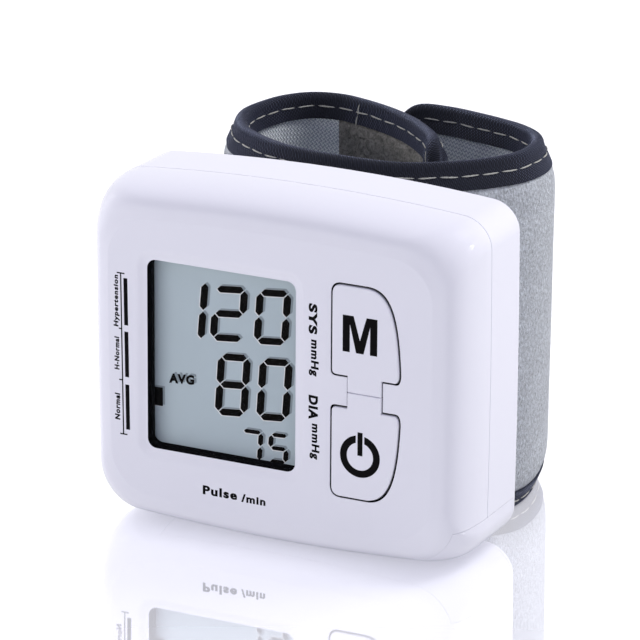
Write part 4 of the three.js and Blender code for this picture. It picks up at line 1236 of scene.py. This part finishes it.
@dataclass(frozen=True)
class Figure:
    """A seven-segment digit on the display's face."""

    digit: str
    corner: Point  # its lower left corner
    size: Point
    stroke: Point  # of its upright and of its level segments
    rise: float = 0.1  # the figures climb a little to the right
    slant: float = 0.066

    def segments(self, gap: float, grow: float = 0.0) -> list[list[Point]]:
        """Gives the outlines of the digit's driven segments.

        Args:
            gap: how far each segment ends before the line that it meets another on.
            grow: how much larger than the segment itself.

        Returns:
            Closed outlines on the display's face.
        """
        (w, h), (across, up) = self.size, self.stroke
        inset, left, right, middle = gap - grow, across / 2, w - across / 2, h / 2
        low, high = (0.0, h) if self.digit == "1" else (up / 2, h - up / 2)
        shapes = {}
        for name, z in (("a", high), ("g", middle), ("d", low)):
            shapes[name] = pointed(left + inset, right - inset, z, up / 2 + grow)
        uprights = (
            ("f", left, middle, high),
            ("e", left, low, middle),
            ("b", right, middle, high),
            ("c", right, low, middle),
        )
        for name, x, z0, z1 in uprights:
            bar = pointed(z0 + inset, z1 - inset, x, across / 2 + grow)
            shapes[name] = [(x, z) for z, x in bar]
        x0, z0 = self.corner
        lit = [shapes[name] for name in DRIVEN[self.digit]]
        return [[(x0 + x + z * self.slant, z0 + z + x * self.rise) for x, z in shape] for shape in lit]


def pointed(start: float, end: float, line: float, half: float) -> list[Point]:
    """Gives a bar with pointed ends along a line, half as wide on each side."""
    near, far = start + half, end - half
    upper, lower = line + half, line - half
    return [(start, line), (near, upper), (far, upper), (end, line), (far, lower), (near, lower)]


def shifted(shapes: Sequence[Sequence[Point]], by: Point) -> list[list[Point]]:
    """Moves outlines sideways and up."""
    return [[(x + by[0], z + by[1]) for x, z in shape] for shape in shapes]


@dataclass
class Display:
    """The liquid crystal's face, its readings and the black border round it."""

    face_y: float = 3.5
    face_box: Box = (-27.0, 7.3, 15.5, 53.8)
    gap: float = 0.14
    halo: float = 0.09
    light: Point = (-0.09, -0.08)  # the painted highlight rims lie to the lower left of the figures
    shadow: Point = (0.45, 0.36)
    figures: tuple[Figure, ...] = (
        Figure("1", (-16.55, 37.3), (1.5, 11.0), (1.5, 1.35), 0.1, 0.082),
        Figure("2", (-14.02, 37.4), (7.3, 10.7), (1.52, 1.32)),
        Figure("0", (-5.0, 38.18), (7.1, 10.6), (1.52, 1.32)),
        Figure("8", (-13.02, 23.2), (6.8, 12.1), (1.52, 1.35), 0.088),
        Figure("0", (-4.44, 23.64), (6.8, 12.1), (1.52, 1.35), 0.092),
        Figure("7", (-7.95, 15.25), (4.72, 6.25), (1.02, 0.78), 0.03),
        Figure("5", (-2.12, 15.72), (4.25, 5.95), (1.02, 0.78), 0.04),
    )
    mark: tuple[Point, ...] = ((-26.4, 23.0), (-23.76, 23.05), (-23.76, 26.68), (-26.4, 26.6))
    mark_middle: float = 25.0
    average_box: Box = (-22.45, -17.2, 27.85, 29.75)
    layer: float = 0.006  # how far each layer of the readings stands before the next
    ink: float = 0.004
    border_boxes: tuple[Box, Box] = ((-27.4, 7.7, 15.42, 54.0), (-25.6, 6.9, 16.05, 53.2))
    border_radii: Point = (1.2, 1.9)

    def build(self) -> None:
        """Builds the face, the border and the readings."""
        outer = rounded_outline(self.face_box, 0.4)
        face = mesh_object("display_face", prism(outer, self.face_y - 0.05, self.face_y - 0.01), [LCD_FACE])
        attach(face, "monitor")
        outlines = [shape for figure in self.figures for shape in figure.segments(self.gap)]
        # Painted highlight: grown copies of the segments and the mark, shifted to the lower left, make the
        # bright rims
        grown = [shape for figure in self.figures for shape in figure.segments(self.gap, self.halo)]
        drop = self.light[1]
        rims = shifted(grown, self.light) + [[(x, z + (z < self.mark_middle) * drop) for x, z in self.mark]]
        driven = [*outlines, self.mark]
        top = self.face_y - 0.055
        layers = (
            ("readings_shadow", shifted(driven, self.shadow), LCD_SHADOW),
            ("readings_edges", rims, LCD_EDGE),
            ("readings", driven, LCD_SEGMENT),
        )
        for number, (name, shapes, finish) in enumerate(layers):
            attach(printed(name, shapes, top - number * self.layer, finish, self.ink), "monitor")
        words = (
            ("average_shadow", self.shadow, top, LCD_SHADOW),
            ("average_mark", (0.0, 0.0), top - 0.02, LCD_SEGMENT),
        )
        x0, x1, z0, z1 = self.average_box
        for name, (dx, dz), depth, finish in words:
            legend = Legend(name, "AVG", (x0 + dx, x1 + dx, z0 + dz, z1 + dz), weight=0.055, rise=0.075)
            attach(legend.build(depth, finish), "monitor")
        outlines_of_border = [rounded_outline(*pair) for pair in zip(self.border_boxes, self.border_radii)]
        depths = (self.face_y - 0.14, self.face_y - 0.07)
        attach(foam_frame("display_border", *outlines_of_border, depths), "monitor")
        log.info("display_face carries %d segments", len(outlines))


# Cuff

CUFF_LINE: tuple[Point, ...] = (
    (0.453, 0.192), (0.413, 0.279), (0.32, 0.403), (0.193, 0.536), (0.057, 0.649), (-0.083, 0.741),
    (-0.283, 0.833), (-0.483, 0.897), (-0.65, 0.936), (-0.82, 0.913), (-0.943, 0.813), (-1.007, 0.672),
    (-1.027, 0.541), (-1.0, 0.426), (-0.957, 0.346), (-0.887, 0.246), (-0.76, 0.156), (-0.51, 0.054),
    (-0.23, 0.008), (0.0, 0.0), (0.2, 0.005), (0.367, 0.031), (0.567, 0.12), (0.76, 0.259),
    (0.893, 0.413), (0.933, 0.556), (0.91, 0.685), (0.807, 0.813), (0.653, 0.895), (0.467, 0.941),
    (0.283, 0.972), (0.1, 0.992), (-0.05, 0.982), (-0.15, 0.941),
)
CUFF_LEAN: dict[int, Point] = {
    20: (0.0, -0.005), 21: (0.033, -0.028), 22: (0.066, -0.087), 23: (0.08, -0.154),
    24: (0.08, -0.185), 25: (0.064, -0.218), 26: (0.05, -0.15),
}


class MiddleLine:
    """The cuff's middle line at one height: a smooth curve through chosen places."""

    def __init__(self, shares: np.ndarray, half_span: float, front: float, reach: float) -> None:
        """Fits the curve.

        Args:
            shares: its places as shares of the half span and of the reach.
            half_span: half the cuff's width.
            front: where the line lies at the saddle.
            reach: from there to its rearmost place.
        """
        p = shares * (half_span, reach) + (0.0, front)
        p = np.vstack([2 * p[0] - p[1], p, 2 * p[-1] - p[-2]])
        step = np.sqrt(np.linalg.norm(np.diff(p, axis=0), axis=1))[:, None]
        p0, p1, p2, p3 = p[:-3], p[1:-2], p[2:-1], p[3:]
        d0, d1, d2 = step[:-2], step[1:-1], step[2:]
        t1 = ((p1 - p0) / d0 - (p2 - p0) / (d0 + d1) + (p2 - p1) / d1) * d1
        t2 = ((p2 - p1) / d1 - (p3 - p1) / (d1 + d2) + (p3 - p2) / d2) * d1
        self.terms = (p1, t1, -3 * p1 + 3 * p2 - 2 * t1 - t2, 2 * p1 - 2 * p2 + t1 + t2)
        self.pieces = len(p1)

    def at(self, t: np.ndarray) -> np.ndarray:
        """Gives the places at parameters from 0 to 1.

        Args:
            t: the parameters.

        Returns:
            Their places in X and Y.
        """
        scaled = np.clip(t, 0, 1) * self.pieces
        index = np.minimum(scaled.astype(int), self.pieces - 1)
        w = (scaled - index)[:, None]
        a, b, c, d = (term[index] for term in self.terms)
        return a + b * w + c * w**2 + d * w**3

    def heading(self, t: np.ndarray) -> np.ndarray:
        """Gives the unit headings at parameters from 0 to 1."""
        way = self.at(np.minimum(t + 1e-4, 1)) - self.at(np.maximum(t - 1e-4, 0))
        return way / np.linalg.norm(way, axis=1)[:, None]


class Stretch(Enum):
    """The five stretches of the cuff, each with its body or the pair of bodies that it lies between."""

    HOOK_END = ("hook_end",)
    LEFT_BEND = ("hook_end", "monitor")
    MIDDLE = ("monitor",)
    RIGHT_BEND = ("monitor", "wrap_end")
    WRAP_END = ("wrap_end",)


@dataclass
class Cuff:
    """The padded cuff: loop outside, woven lining, bound edges, stitching and the hook patch."""

    height: float = 67.1
    half_span: float = 30.0
    front: float = PANEL_Y + 30.3
    reach: float = 39.0
    hook_end_length: float = 79.0
    wrap_end_length: float = 31.0
    bend_half: float = 4.1
    hook_tip: float = 9.6  # where the hook end's sewn tip lies
    wrap_overrun: float = 2.5  # how far the wrap end's sewn tip reaches past the middle line
    corner: float = 5.8  # radius of the tips' corners
    half_thickness: float = 2.0
    fill: float = 0.55
    swell: Point = (0.1, 0.9)  # everywhere, and outside where nothing presses on the cuff
    swell_from: Point = (40.0, 62.0)  # the hook end's outside swells less, as the wrap end lies on it
    ripple: float = 0.05
    fold: float = 1.3  # half the thickness of the tape's fold
    flare: float = 2.45  # how far the tape's free edge stands out
    tape_width: Point = (3.9, 4.7)  # at the bottom edge and at the top edge
    seam_down: Point = (1.6, 2.4)  # from the fold to the stitches
    seam_dent: float = 0.16
    tape_thickness: float = 0.42
    tape_cover: float = 0.08  # how far the padding stays under the tape
    stitch_pitch: float = 4.05
    stitch_length: float = 3.35
    stitch_radius: float = 0.1
    stitch_drift: float = 0.09
    unsewn_tip: float = 4.0  # the hook end's outside has no stitches in sight so near its tip
    patch: Box = (14.4, 46.0, 4.1, 62.3)
    patch_grid: tuple[int, int] = (64, 84)
    patch_thickness: float = 0.4
    patch_nap: float = 0.13
    tack_along: float = 41.3
    tack_starts: Point = (0.8, 2.9)
    tack_length: float = 2.1
    tack_on_lining: float = -2.62
    # millimetres that the sewn cuff lies outside its middle line, and that its top fold leans outwards
    line_shift: tuple[Point, ...] = (
        (9.6, 1.5), (16.0, 2.5), (40.0, 2.5), (50.0, 2.0), (60.0, 1.3), (68.0, 1.0), (76.0, 0.3), (82.0, 0.0),
        (176.0, 0.0), (184.0, 0.4), (190.0, 1.2), (193.0, 2.1),
    )
    fold_lean: tuple[Point, ...] = (
        (0.0, -0.6), (75.0, -0.4), (84.0, -1.1), (150.0, -1.1), (160.0, 0.0), (168.0, 0.5), (176.0, 0.9),
        (193.0, 0.9),
    )

    def __post_init__(self) -> None:
        """Fits the top and bottom lines and measures the cuff."""
        upper, lower = np.array(CUFF_LINE), np.array(CUFF_LINE)
        for index, lean in CUFF_LEAN.items():
            lower[index] += lean
        self.top, self.bottom = (
            MiddleLine(shares, self.half_span, self.front, self.reach) for shares in (upper, lower)
        )
        self.grid = np.linspace(0, 1, len(CUFF_LINE) * 8 + 1)
        self.measured = travelled(self.top.at(self.grid))
        self.length = float(self.measured[-1])
        self.wrap_tip = self.length + self.wrap_overrun

    def at(self, along: np.ndarray, out: np.ndarray, z: np.ndarray) -> np.ndarray:
        """Gives places in the cuff.

        Args:
            along: millimetres from the start of the middle line, near the hook end's tip.
            out: millimetres outwards from the middle line.
            z: height.

        Returns:
            Points in the row frame.
        """
        values = (np.atleast_1d(np.asarray(v, dtype=float)) for v in (along, out, z))
        along, out, z = np.broadcast_arrays(*values)
        within = np.clip(along, 0, self.length)
        t = np.interp(within, self.measured, self.grid)
        out = out + np.interp(along, *zip(*self.line_shift))
        share = (z / self.height)[:, None]
        place = self.bottom.at(t) * (1 - share) + self.top.at(t) * share
        way = self.bottom.heading(t) * (1 - share) + self.top.heading(t) * share
        way = way / np.linalg.norm(way, axis=1)[:, None]
        place = place + way * (along - within)[:, None]
        return np.column_stack([place[:, 0] + way[:, 1] * out, place[:, 1] - way[:, 0] * out, z])

    def limits(self, stretch: Stretch) -> Point:
        """Gives where a stretch starts and ends along the cuff.

        Args:
            stretch: the stretch.

        Returns:
            Both places in millimetres along the cuff.
        """
        left, right, half = self.hook_end_length, self.length - self.wrap_end_length, self.bend_half
        ends = (self.hook_tip, left - half, left + half, right - half, right + half, self.wrap_tip)
        index = list(Stretch).index(stretch)
        return ends[index], ends[index + 1]

    def follow(self, piece: Piece, stretch: Stretch) -> Piece:
        """Puts a piece on its body; a piece between two bodies only gets its placement baked into its points.

        Args:
            piece: the piece.
            stretch: the stretch it belongs to.

        Returns:
            The same piece.
        """
        if len(stretch.value) == 1:
            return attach(piece, stretch.value[0])
        outside = (self.half_thickness, self.height / 2)
        low, high = (self.at(along, *outside)[0] * MM for along in self.limits(stretch))
        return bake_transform(piece)

    def near_edge(self, pair: Point, z: float) -> float:
        """Gives a measure of the tape at a height, between its values at the bottom and at the top."""
        return pair[0] + (pair[1] - pair[0]) * min(max(z / self.height, 0.0), 1.0)

    def from_tip(self, along: float) -> float:
        """Gives how far a place lies from the nearer tip of the cuff."""
        return min(along - self.hook_tip, self.wrap_tip - along)

    def depth(self, along: float, z: float) -> float:
        """Gives how far a place lies from the cuff's nearest edge, round corners included.

        Args:
            along: place along the cuff.
            z: height.

        Returns:
            Millimetres.
        """
        side, edge = self.from_tip(along), min(z, self.height - z)
        if side < self.corner and edge < self.corner:
            return self.corner - math.hypot(self.corner - side, self.corner - edge)
        return min(side, edge)

    def tape_face(self, side: int, down: float, along: float, z: float) -> float:
        """Gives how far out the tape's face lies.

        Args:
            side: 1 outside and -1 inside.
            down: millimetres from the fold.
            along: place along the cuff.
            z: height.

        Returns:
            Millimetres from the middle line.
        """
        lean = float(np.interp(along, *zip(*self.fold_lean))) * max(z / self.height, 0.0) ** 2
        if down < self.fold:
            return lean + side * math.sqrt(max(self.fold**2 - (self.fold - down) ** 2, 0.0))
        share = (down - self.fold) / (self.near_edge(self.tape_width, z) - self.fold)
        start, end = lean + side * self.fold, side * self.flare
        dent = self.seam_dent * math.exp(-(((down - self.near_edge(self.seam_down, z)) / 0.4) ** 2))
        return start + (end - start) * min(share, 1.0) ** 0.9 - side * dent

    def body_face(self, side: int, along: float, z: float) -> float:
        """Gives how far out the padded body lies: held by the tape at its edges, swelling between them.

        Args:
            side: 1 outside and -1 inside.
            along: place along the cuff.
            z: height.

        Returns:
            Millimetres from the middle line.
        """
        down, width = self.depth(along, z), self.near_edge(self.tape_width, z)
        under = self.tape_thickness + self.tape_cover
        if down < width:
            return self.tape_face(side, down, along, z) - side * min(under, 0.8 * down)
        swell, free_swell = self.swell
        if side > 0:
            away = self.at(along, 0.0, z)[0][1] - self.front
            free = min(max((away - 0.9) / 4.0, 0.0), 1.0)
            share = float(np.interp(along, self.swell_from, (0.1, 1.0)))
            swell += free_swell * free * free * (3 - 2 * free) * share
        ripple = self.ripple * math.sin(along * 0.37 + 1.3 * math.sin(z * 0.11) + side)
        held = self.flare - under
        rise = 1 - math.exp(-(down - width) / 1.3)
        return side * (held + (self.half_thickness + swell + ripple - held) * rise)

    def padding(self, name: str, stretch: Stretch) -> Piece:
        """Builds the padded body of a stretch, with the loop outside and the lining inside.

        Args:
            name: the piece's name.
            stretch: the stretch.

        Returns:
            The piece, on its body where its stretch has one.
        """
        start, end = self.limits(stretch)
        margin = 0.5
        start += margin if stretch is Stretch.HOOK_END else 0.0
        end -= margin if stretch is Stretch.WRAP_END else 0.0
        rings, mapped = [], []
        count = 46
        for along in np.linspace(start, end, max(int(end - start), 6) + 1):
            side, low = self.corner - self.from_tip(along), margin
            if side > 0:
                low = self.corner - math.sqrt(max((self.corner - 0.45) ** 2 - side**2, 0.0))
            ups = low + (self.height - 2 * low) * (0.5 - 0.5 * np.cos(np.linspace(0, math.pi, count)))
            z = np.concatenate([ups, ups[::-1]])
            sides = [1] * count + [-1] * count
            rings.append(self.at(along, [self.body_face(s, along, up) for s, up in zip(sides, z)], z))
            mapped += [(along, up) for up in z]
        points, faces = skin(rings)
        inside = [int(sum(1 if i % (2 * count) < count else -1 for i in face) < 0) for face in faces]
        body = mesh_object(name, (points, faces), [GREY_FLEECE, BLUE_LINING], 60, inside, mapped)
        return self.follow(body, stretch)

    def edge_paths(self, stretch: Stretch) -> dict[str, np.ndarray]:
        """Gives where the tape's fold runs.

        Args:
            stretch: the stretch.

        Returns:
            Paths by name; each row holds along, z and the way inwards in both.
        """
        start, end = self.limits(stretch)
        steps = max(int((end - start) / 1.1), 5)

        def straight(a: float, b: float, z: float) -> np.ndarray:
            """Gives a path along an edge."""
            inwards = 1.0 if z == 0 else -1.0
            columns = (np.full(steps, value) for value in (z, 0.0, inwards))
            return np.column_stack([np.linspace(a, b, steps), *columns])

        if stretch not in (Stretch.HOOK_END, Stretch.WRAP_END):
            return {"bottom": straight(start, end, 0.0), "top": straight(start, end, self.height)}
        tip, far, way = (start, end, 1) if stretch is Stretch.HOOK_END else (end, start, -1)
        turn = np.linspace(0, QUARTER, 10)
        sine, cosine = np.sin(turn), np.cos(turn)
        centre = tip + way * self.corner
        low = np.column_stack(
            [centre - way * self.corner * sine, self.corner * (1 - cosine), way * sine, cosine]
        )
        high = low[::-1] * (1, -1, 1, -1) + (0, self.height, 0, 0)
        middle = np.linspace(self.corner, self.height - self.corner, 50)[1:-1]
        side = np.column_stack([np.full(48, tip), middle, np.full(48, way), np.zeros(48)])
        ends = straight(far, centre, 0.0)[:-1], straight(centre, far, self.height)[1:]
        return {"round": np.vstack([ends[0], low, side, high, ends[1]])}

    def tape(self, name: str, stretch: Stretch, path: np.ndarray) -> Piece:
        """Folds the tape over an edge, all the way round a tip.

        Args:
            name: the piece's name.
            stretch: the stretch it belongs to.
            path: where its fold runs.

        Returns:
            The piece, on its body where its stretch has one.
        """
        rings, mapped = [], []
        for row, run in zip(path, travelled(path[:, :2])):
            out, down, up = self.tape_profile(row[0], row[1])
            along, z, na, nz = row
            rings.append(self.at(along + na * down, out, z + nz * down))
            mapped += [(float(run), float(u)) for u in up]
        return self.follow(mesh_object(name, skin(rings), [DARK_TAPE], 60, None, mapped), stretch)

    def tape_profile(self, along: float, z: float) -> list[np.ndarray]:
        """Gives the folded tape's section at one place.

        Args:
            along: place along the cuff.
            z: height.

        Returns:
            For each of its points, millimetres outwards, from the fold and across the flat tape.
        """
        width, seam = self.near_edge(self.tape_width, z), self.near_edge(self.seam_down, z)
        least = self.fold + 0.02
        downs = [width, width - 0.12, (width + seam) / 2, seam + 0.45, seam + 0.2, seam, seam - 0.2, least]
        downs = [min(max(d, least), width) for d in downs]
        lean = self.tape_face(1, 0.0, along, z)
        turn = np.linspace(0, math.pi, 13)[1:-1]

        def flat(side: int, inset: float) -> list[Place]:
            """Gives one side's points, inset from its face."""
            return [(self.tape_face(side, d, along, z) - side * inset, d, side * d) for d in downs]

        def rounded(radius: float) -> list[Place]:
            """Gives the points round the fold."""
            sines = [(math.cos(t), math.sin(t)) for t in turn]
            return [(lean + radius * c, self.fold - radius * s, self.fold * c) for c, s in sines]

        thick = self.tape_thickness
        outer = [*flat(1, 0.0), *rounded(self.fold), *flat(-1, 0.0)[::-1]]
        inner = [*flat(-1, thick), *rounded(self.fold - thick)[::-1], *flat(1, thick)[::-1]]
        out, down, up = (np.array(v) for v in zip(*outer, *inner))
        out[0] -= 0.14
        return [out, down, up]

    def thread(self, lines: Sequence[np.ndarray], name: str, stretch: Stretch) -> Piece:
        """Lays two-ply thread along short lines.

        Args:
            lines: for each stitch, rows of along, out, z and the way across it in along and z.
            name: the piece's name.
            stretch: the stretch it belongs to.

        Returns:
            The piece, on its body where its stretch has one.
        """
        turn = np.linspace(0, 2 * math.pi, 8, endpoint=False)
        stitches = []
        for line in lines:
            rings = []
            for (along, out, z, na, nz), s in zip(line, np.linspace(-1, 1, len(line))):
                ply = 1 + 0.22 * np.cos(2 * (turn - 5.0 * s))
                fat = self.stitch_radius * (1 - s**4) ** 0.5 * ply + 0.02
                across = fat * 1.2 * np.sin(turn)
                rings.append(self.at(along + na * across, out + fat * np.cos(turn), z + nz * across))
            stitches.append(skin(rings))
        return self.follow(mesh_object(name, merged(stitches), [SEWING_THREAD], 80), stretch)

    def stitches(self, name: str, stretch: Stretch) -> None:
        """Sews the tape down, outside and inside.

        Args:
            name: the piece's name.
            stretch: the stretch.
        """
        lines = []
        share = np.linspace(-1, 1, 9)
        for path in self.edge_paths(stretch).values():
            seam = np.array([self.near_edge(self.seam_down, z) for z in path[:, 1]])
            rows = np.column_stack([path[:, :2] + path[:, 2:] * seam[:, None], path[:, 2:], seam])
            run = travelled(rows[:, :2])
            count = max(round(run[-1] / self.stitch_pitch), 1)
            for index in range(count):
                place = (index + 0.5) * run[-1] / count + share * self.stitch_length / 2
                along, z, na, nz, down = (np.interp(place, run, column) for column in rows.T)
                drift = self.stitch_drift * math.sin(index * 2.4) * share
                for side in (1, -1) if along[4] > self.hook_tip + self.unsewn_tip else (-1,):
                    face = np.array([self.tape_face(side, d, a, h) for d, a, h in zip(down, along, z)])
                    out = face + side * (0.02 + 0.14 * (1 - share**2))
                    lines.append(np.column_stack([along + na * drift, out, z + nz * drift, na, nz]))
        self.thread(lines, name, stretch)

    def hook_patch(self) -> Piece:
        """Builds the matted fastener patch on the hook end's inner face."""
        a0, a1, z0, z1 = self.patch
        across, rows = self.patch_grid
        surface = -(self.half_thickness + 0.06)
        alongs = np.linspace(a0, a1, across)
        there_and_back = np.concatenate([alongs, alongs[::-1]])
        back = np.full(across, surface + 0.2)
        rings, mapped = [], []
        for z in np.linspace(z0, z1, rows):
            nap = np.sin(alongs * 3.1 + z * 1.7) * np.sin(z * 4.3 - alongs * 2.2)
            nap = nap + np.sin(alongs * 6.7 - z * 5.1) * 0.6
            rim = np.minimum(np.minimum(alongs - a0, a1 - alongs), min(z - z0, z1 - z))
            edge = (rim / 0.8).clip(0, 1)
            face = surface - self.patch_thickness * edge**0.5 - self.patch_nap * nap * edge
            rings.append(self.at(there_and_back, np.concatenate([face, back]), z))
            mapped += [(float(a), float(z)) for a in there_and_back]
        points, faces = skin(rings)
        del faces[-2:]
        size = 2 * across
        for first in (0, len(points) - size):
            last = first + size - 1
            faces += [[first + i, first + i + 1, last - i - 1, last - i] for i in range(across - 1)]
        patch = mesh_object("hook_pile_patch", (points, faces), [DARK_PILE], 80, None, mapped)
        return self.follow(patch, Stretch.HOOK_END)

    def bar_tack(self) -> Piece:
        """Sews the upright tack across the tape beside the patch's end, on the inner face."""
        lines = []
        for start in self.tack_starts:
            down = np.linspace(start, start + self.tack_length, 5)
            faces = [self.tape_face(-1, d, self.tack_along, self.height) for d in down]
            on_tape = down < self.tape_width[1]
            out = np.minimum(np.where(on_tape, faces, self.tack_on_lining), 0)
            out = out - 0.02 - 0.12 * (1 - np.linspace(-1, 1, 5) ** 2)
            columns = [np.full(5, self.tack_along), out, self.height - down, np.ones(5), np.zeros(5)]
            lines.append(np.column_stack(columns))
        return self.thread(lines, "hook_end_tack", Stretch.HOOK_END)

    def build(self) -> None:
        layers = {
            Stretch.HOOK_END: ("hook_end", "padding"),
            Stretch.MIDDLE: ("cuff", "stiffener", "bladder"),
            Stretch.WRAP_END: ("wrap_end", "padding"),
        }
        for stretch in Stretch:
            word = stretch.name.lower()
            node, *core = layers.get(stretch, ("",))
            body = self.padding(f"padding_{word}", stretch)
            if node:
                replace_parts(body, *(f"{node}_{layer}" for layer in ("fleece", *core, "lining")))
            for edge, path in self.edge_paths(stretch).items():
                tape = self.tape(f"tape_{edge}_{word}", stretch, path)
                if node:
                    edges = ("top", "bottom") if edge == "round" else (edge,)
                    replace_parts(tape, *(f"{node}_binding_{end}" for end in edges))
            self.stitches(f"stitches_{word}", stretch)
            log.info("cuff: %s is padded, bound and stitched", word)
        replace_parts(self.hook_patch(), "hook_patch")
        self.bar_tack()
        log.info("cuff: %.0f mm long with its patch and tack", self.length)


# What shows through openings or stays inside


@dataclass
class Inside:
    """The pieces that keep their CAD shape, each with the finish of its real material."""

    finishes: tuple[tuple[Finish, str], ...] = (
        (CLEAR_PANE, "display_window"),
        (BLACK_FOAM, "display_gasket lcd_connector"),
        (LCD_FACE, "lcd_panel"),
        (NATURAL_NYLON, "lcd_holder key_retainer memory_switch_plunger power_switch_plunger"),
        (NATURAL_NYLON, "pump_head air_manifold cuff_saddle cuff_nozzle"),
        (BOARD_MASK, "circuit_board"),
        (EPOXY_PACKAGE, "controller_chip memory_switch power_switch pressure_sensor"),
        (PLATED_STEEL, "pump_motor pump_shaft valve_pin contact_spring_1 contact_spring_2"),
        (PLATED_STEEL, "casing_screw_1 casing_screw_2 casing_screw_3 casing_screw_4"),
        (PLATED_STEEL, "board_screw_1 board_screw_2"),
        (ROLLED_BRASS, "exhaust_valve contact_plate contact_bridge"),
        (SILICONE_HOSE, "pump_tube valve_tube cuff_tube sensor_tube"),
        (CELL_SLEEVE, "battery_1 battery_2"),
        (PVC_LEAD, "motor_lead"),
    )

    def dress(self) -> None:
        """Gives every remaining CAD node its material."""
        for finish, names in self.finishes:
            for name in names.split():
                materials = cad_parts[name].data.materials
                materials.clear()
                materials.append(material_of(finish))
            log.info("%s: %s", finish.name, names)


# Studio


@dataclass(frozen=True)
class Lamp:
    """A soft box: where it stands, what it faces, its size and its power."""

    name: str
    place: Place
    target: Place
    size: Point
    watts: float
    mirrored: bool = False  # whether gloss shows the lamp itself; the soft boxes only light
    colour: Place = (1.0, 0.99, 0.96)

    def build(self) -> None:
        """Puts the lamp into the scene."""
        data = bpy.data.lights.new(self.name, "AREA")
        data.color = self.colour
        data.shape = "RECTANGLE"
        data.size, data.size_y = self.size
        data.energy = self.watts
        lamp = link(self.name, data)
        lamp.visible_glossy = self.mirrored
        lamp.location = self.place
        aim = Vector(self.target) - Vector(self.place)
        lamp.rotation_euler = aim.to_track_quat("-Z", "Y").to_euler()


@dataclass
class Studio:
    """A pale glossy table in a white room with four soft boxes and a small sparkle, and the camera."""

    turn: float = 26.664
    height: float = 18.399
    roll: float = 0.376
    target: Place = (3.222, -21.617, 40.897)
    distance: float = 914.41
    lens: float = 281.5
    sensor: float = 36.0
    clip: Point = (0.05, 20.0)
    room_light: float = 0.34
    fill: str = "DCDCFF"  # the shade is bluer than the light
    table_half: float = 3.0
    table_drop: float = 0.00002  # so that the foot doesn't flicker through the table
    table_glow: Point = (0.1, 0.38)  # for light that falls on the object, and for the camera
    lamps: tuple[Lamp, ...] = (
        Lamp("front_box", (-0.36, -0.62, 0.2), (0.0, -0.03, 0.035), (0.6, 0.2), 2.1),
        Lamp("left_box", (-0.66, 0.1, 0.2), (0.0, 0.0, 0.035), (0.2, 0.24), 2.1),
        Lamp("top_box", (0.3, 0.3, 0.6), (0.0, 0.0, 0.04), (0.3, 0.3), 4.3),
        Lamp("right_box", (0.6, -0.12, 0.07), (0.0, 0.0, 0.035), (0.2, 0.12), 0.52),
        Lamp("sparkle", (0.6, 0.34, 0.36), (0.0, -0.03, 0.05), (0.05, 0.05), 0.2, True),
    )

    def camera(self) -> None:
        """Sets the camera to the photograph's view."""
        turn, height, roll = (math.radians(v) for v in (self.turn, self.height, self.roll))
        level = math.cos(height)
        forward = Vector((-math.sin(turn) * level, math.cos(turn) * level, -math.sin(height)))
        right = Vector((math.cos(turn), math.sin(turn), 0.0))
        up = right.cross(forward)
        sine, cosine = math.sin(roll), math.cos(roll)
        right, up = right * cosine + up * sine, up * cosine - right * sine
        data = bpy.data.cameras.new("photograph")
        data.lens, data.sensor_width = self.lens, self.sensor
        data.clip_start, data.clip_end = self.clip
        camera = link("photograph", data)
        place = (Vector(self.target) - forward * self.distance) * MM
        turned = Matrix((right, up, -forward)).transposed().to_4x4()
        camera.matrix_world = Matrix.Translation(place) @ turned
        bpy.context.scene.camera = camera

    def room(self) -> None:
        """Makes the white surroundings, which light the object softly."""
        world = bpy.data.worlds.new("white_room")
        bpy.context.scene.world = world
        world.use_nodes = True
        tree = world.node_tree
        tree.nodes.clear()
        seen = self.seen(tree)
        values = {"Color1": linear(self.fill), "Color2": linear("FFFFFF")}
        colour = add_node(tree, "MixRGB", values, {"Fac": seen})
        values = {"To Min": self.room_light, "To Max": 1.0}
        strength = add_node(tree, "MapRange", values, {"Value": seen}).outputs["Result"]
        light = add_node(tree, "Background", links={"Color": colour.outputs["Color"], "Strength": strength})
        add_node(tree, "OutputWorld", links={"Surface": light.outputs["Background"]})

    @staticmethod
    def seen(tree: bpy.types.NodeTree) -> Socket:
        """Gives 1 where the camera, gloss or glass looks at the room, and 0 for its light.

        Args:
            tree: the world's node tree.

        Returns:
            A value socket.
        """
        path = add_node(tree, "LightPath").outputs
        found = path["Is Camera Ray"]
        for ray in ("Is Glossy Ray", "Is Transmission Ray"):
            either = add_node(tree, "Math", links={0: found, 1: path[ray]}, operation="MAXIMUM")
            found = either.outputs["Value"]
        return found

    def table(self) -> None:
        """Lays the white glossy table, which keeps the object's shadow and a faint mirror image."""
        values = {
            "Base Color": linear("EDEDEF"),
            "Metallic": 0.7,
            "Roughness": 0.03,
            "IOR": 1.5,
            "Emission Color": linear("F4F4FF"),
        }
        surface = Surface("white_acrylic_table", values)
        camera_ray = add_node(surface.tree, "LightPath").outputs["Is Camera Ray"]
        values = {"To Min": self.table_glow[0], "To Max": self.table_glow[1]}
        glow = add_node(surface.tree, "MapRange", values, {"Value": camera_ray}).outputs["Result"]
        surface.give("Emission Strength", glow)
        mesh = bpy.data.meshes.new("table")
        half = self.table_half
        corners = [(-half, -half, 0), (half, -half, 0), (half, half, 0), (-half, half, 0)]
        mesh.from_pydata(corners, [], [(0, 1, 2, 3)])
        mesh.materials.append(surface.material)
        table = link("table", mesh)
        table.location.z = -self.table_drop

    def build(self) -> None:
        """Builds the whole studio."""
        self.camera()
        self.room()
        self.table()
        for lamp in self.lamps:
            lamp.build()
        bpy.context.scene.view_settings.view_transform = "Standard"
        log.info("studio: camera, room, table and %d lamps", len(self.lamps))


def main() -> None:
    """Builds every piece in order."""
    logging.basicConfig(level=logging.INFO, format="%(name)s: %(message)s")
    Studio().build()
    keys = Keys()
    Housing().build(keys)
    keys.build()
    Display().build()
    PanelPrint().build()
    Cuff().build()
    Inside().dress()


if __name__ == "__main__":
    main()
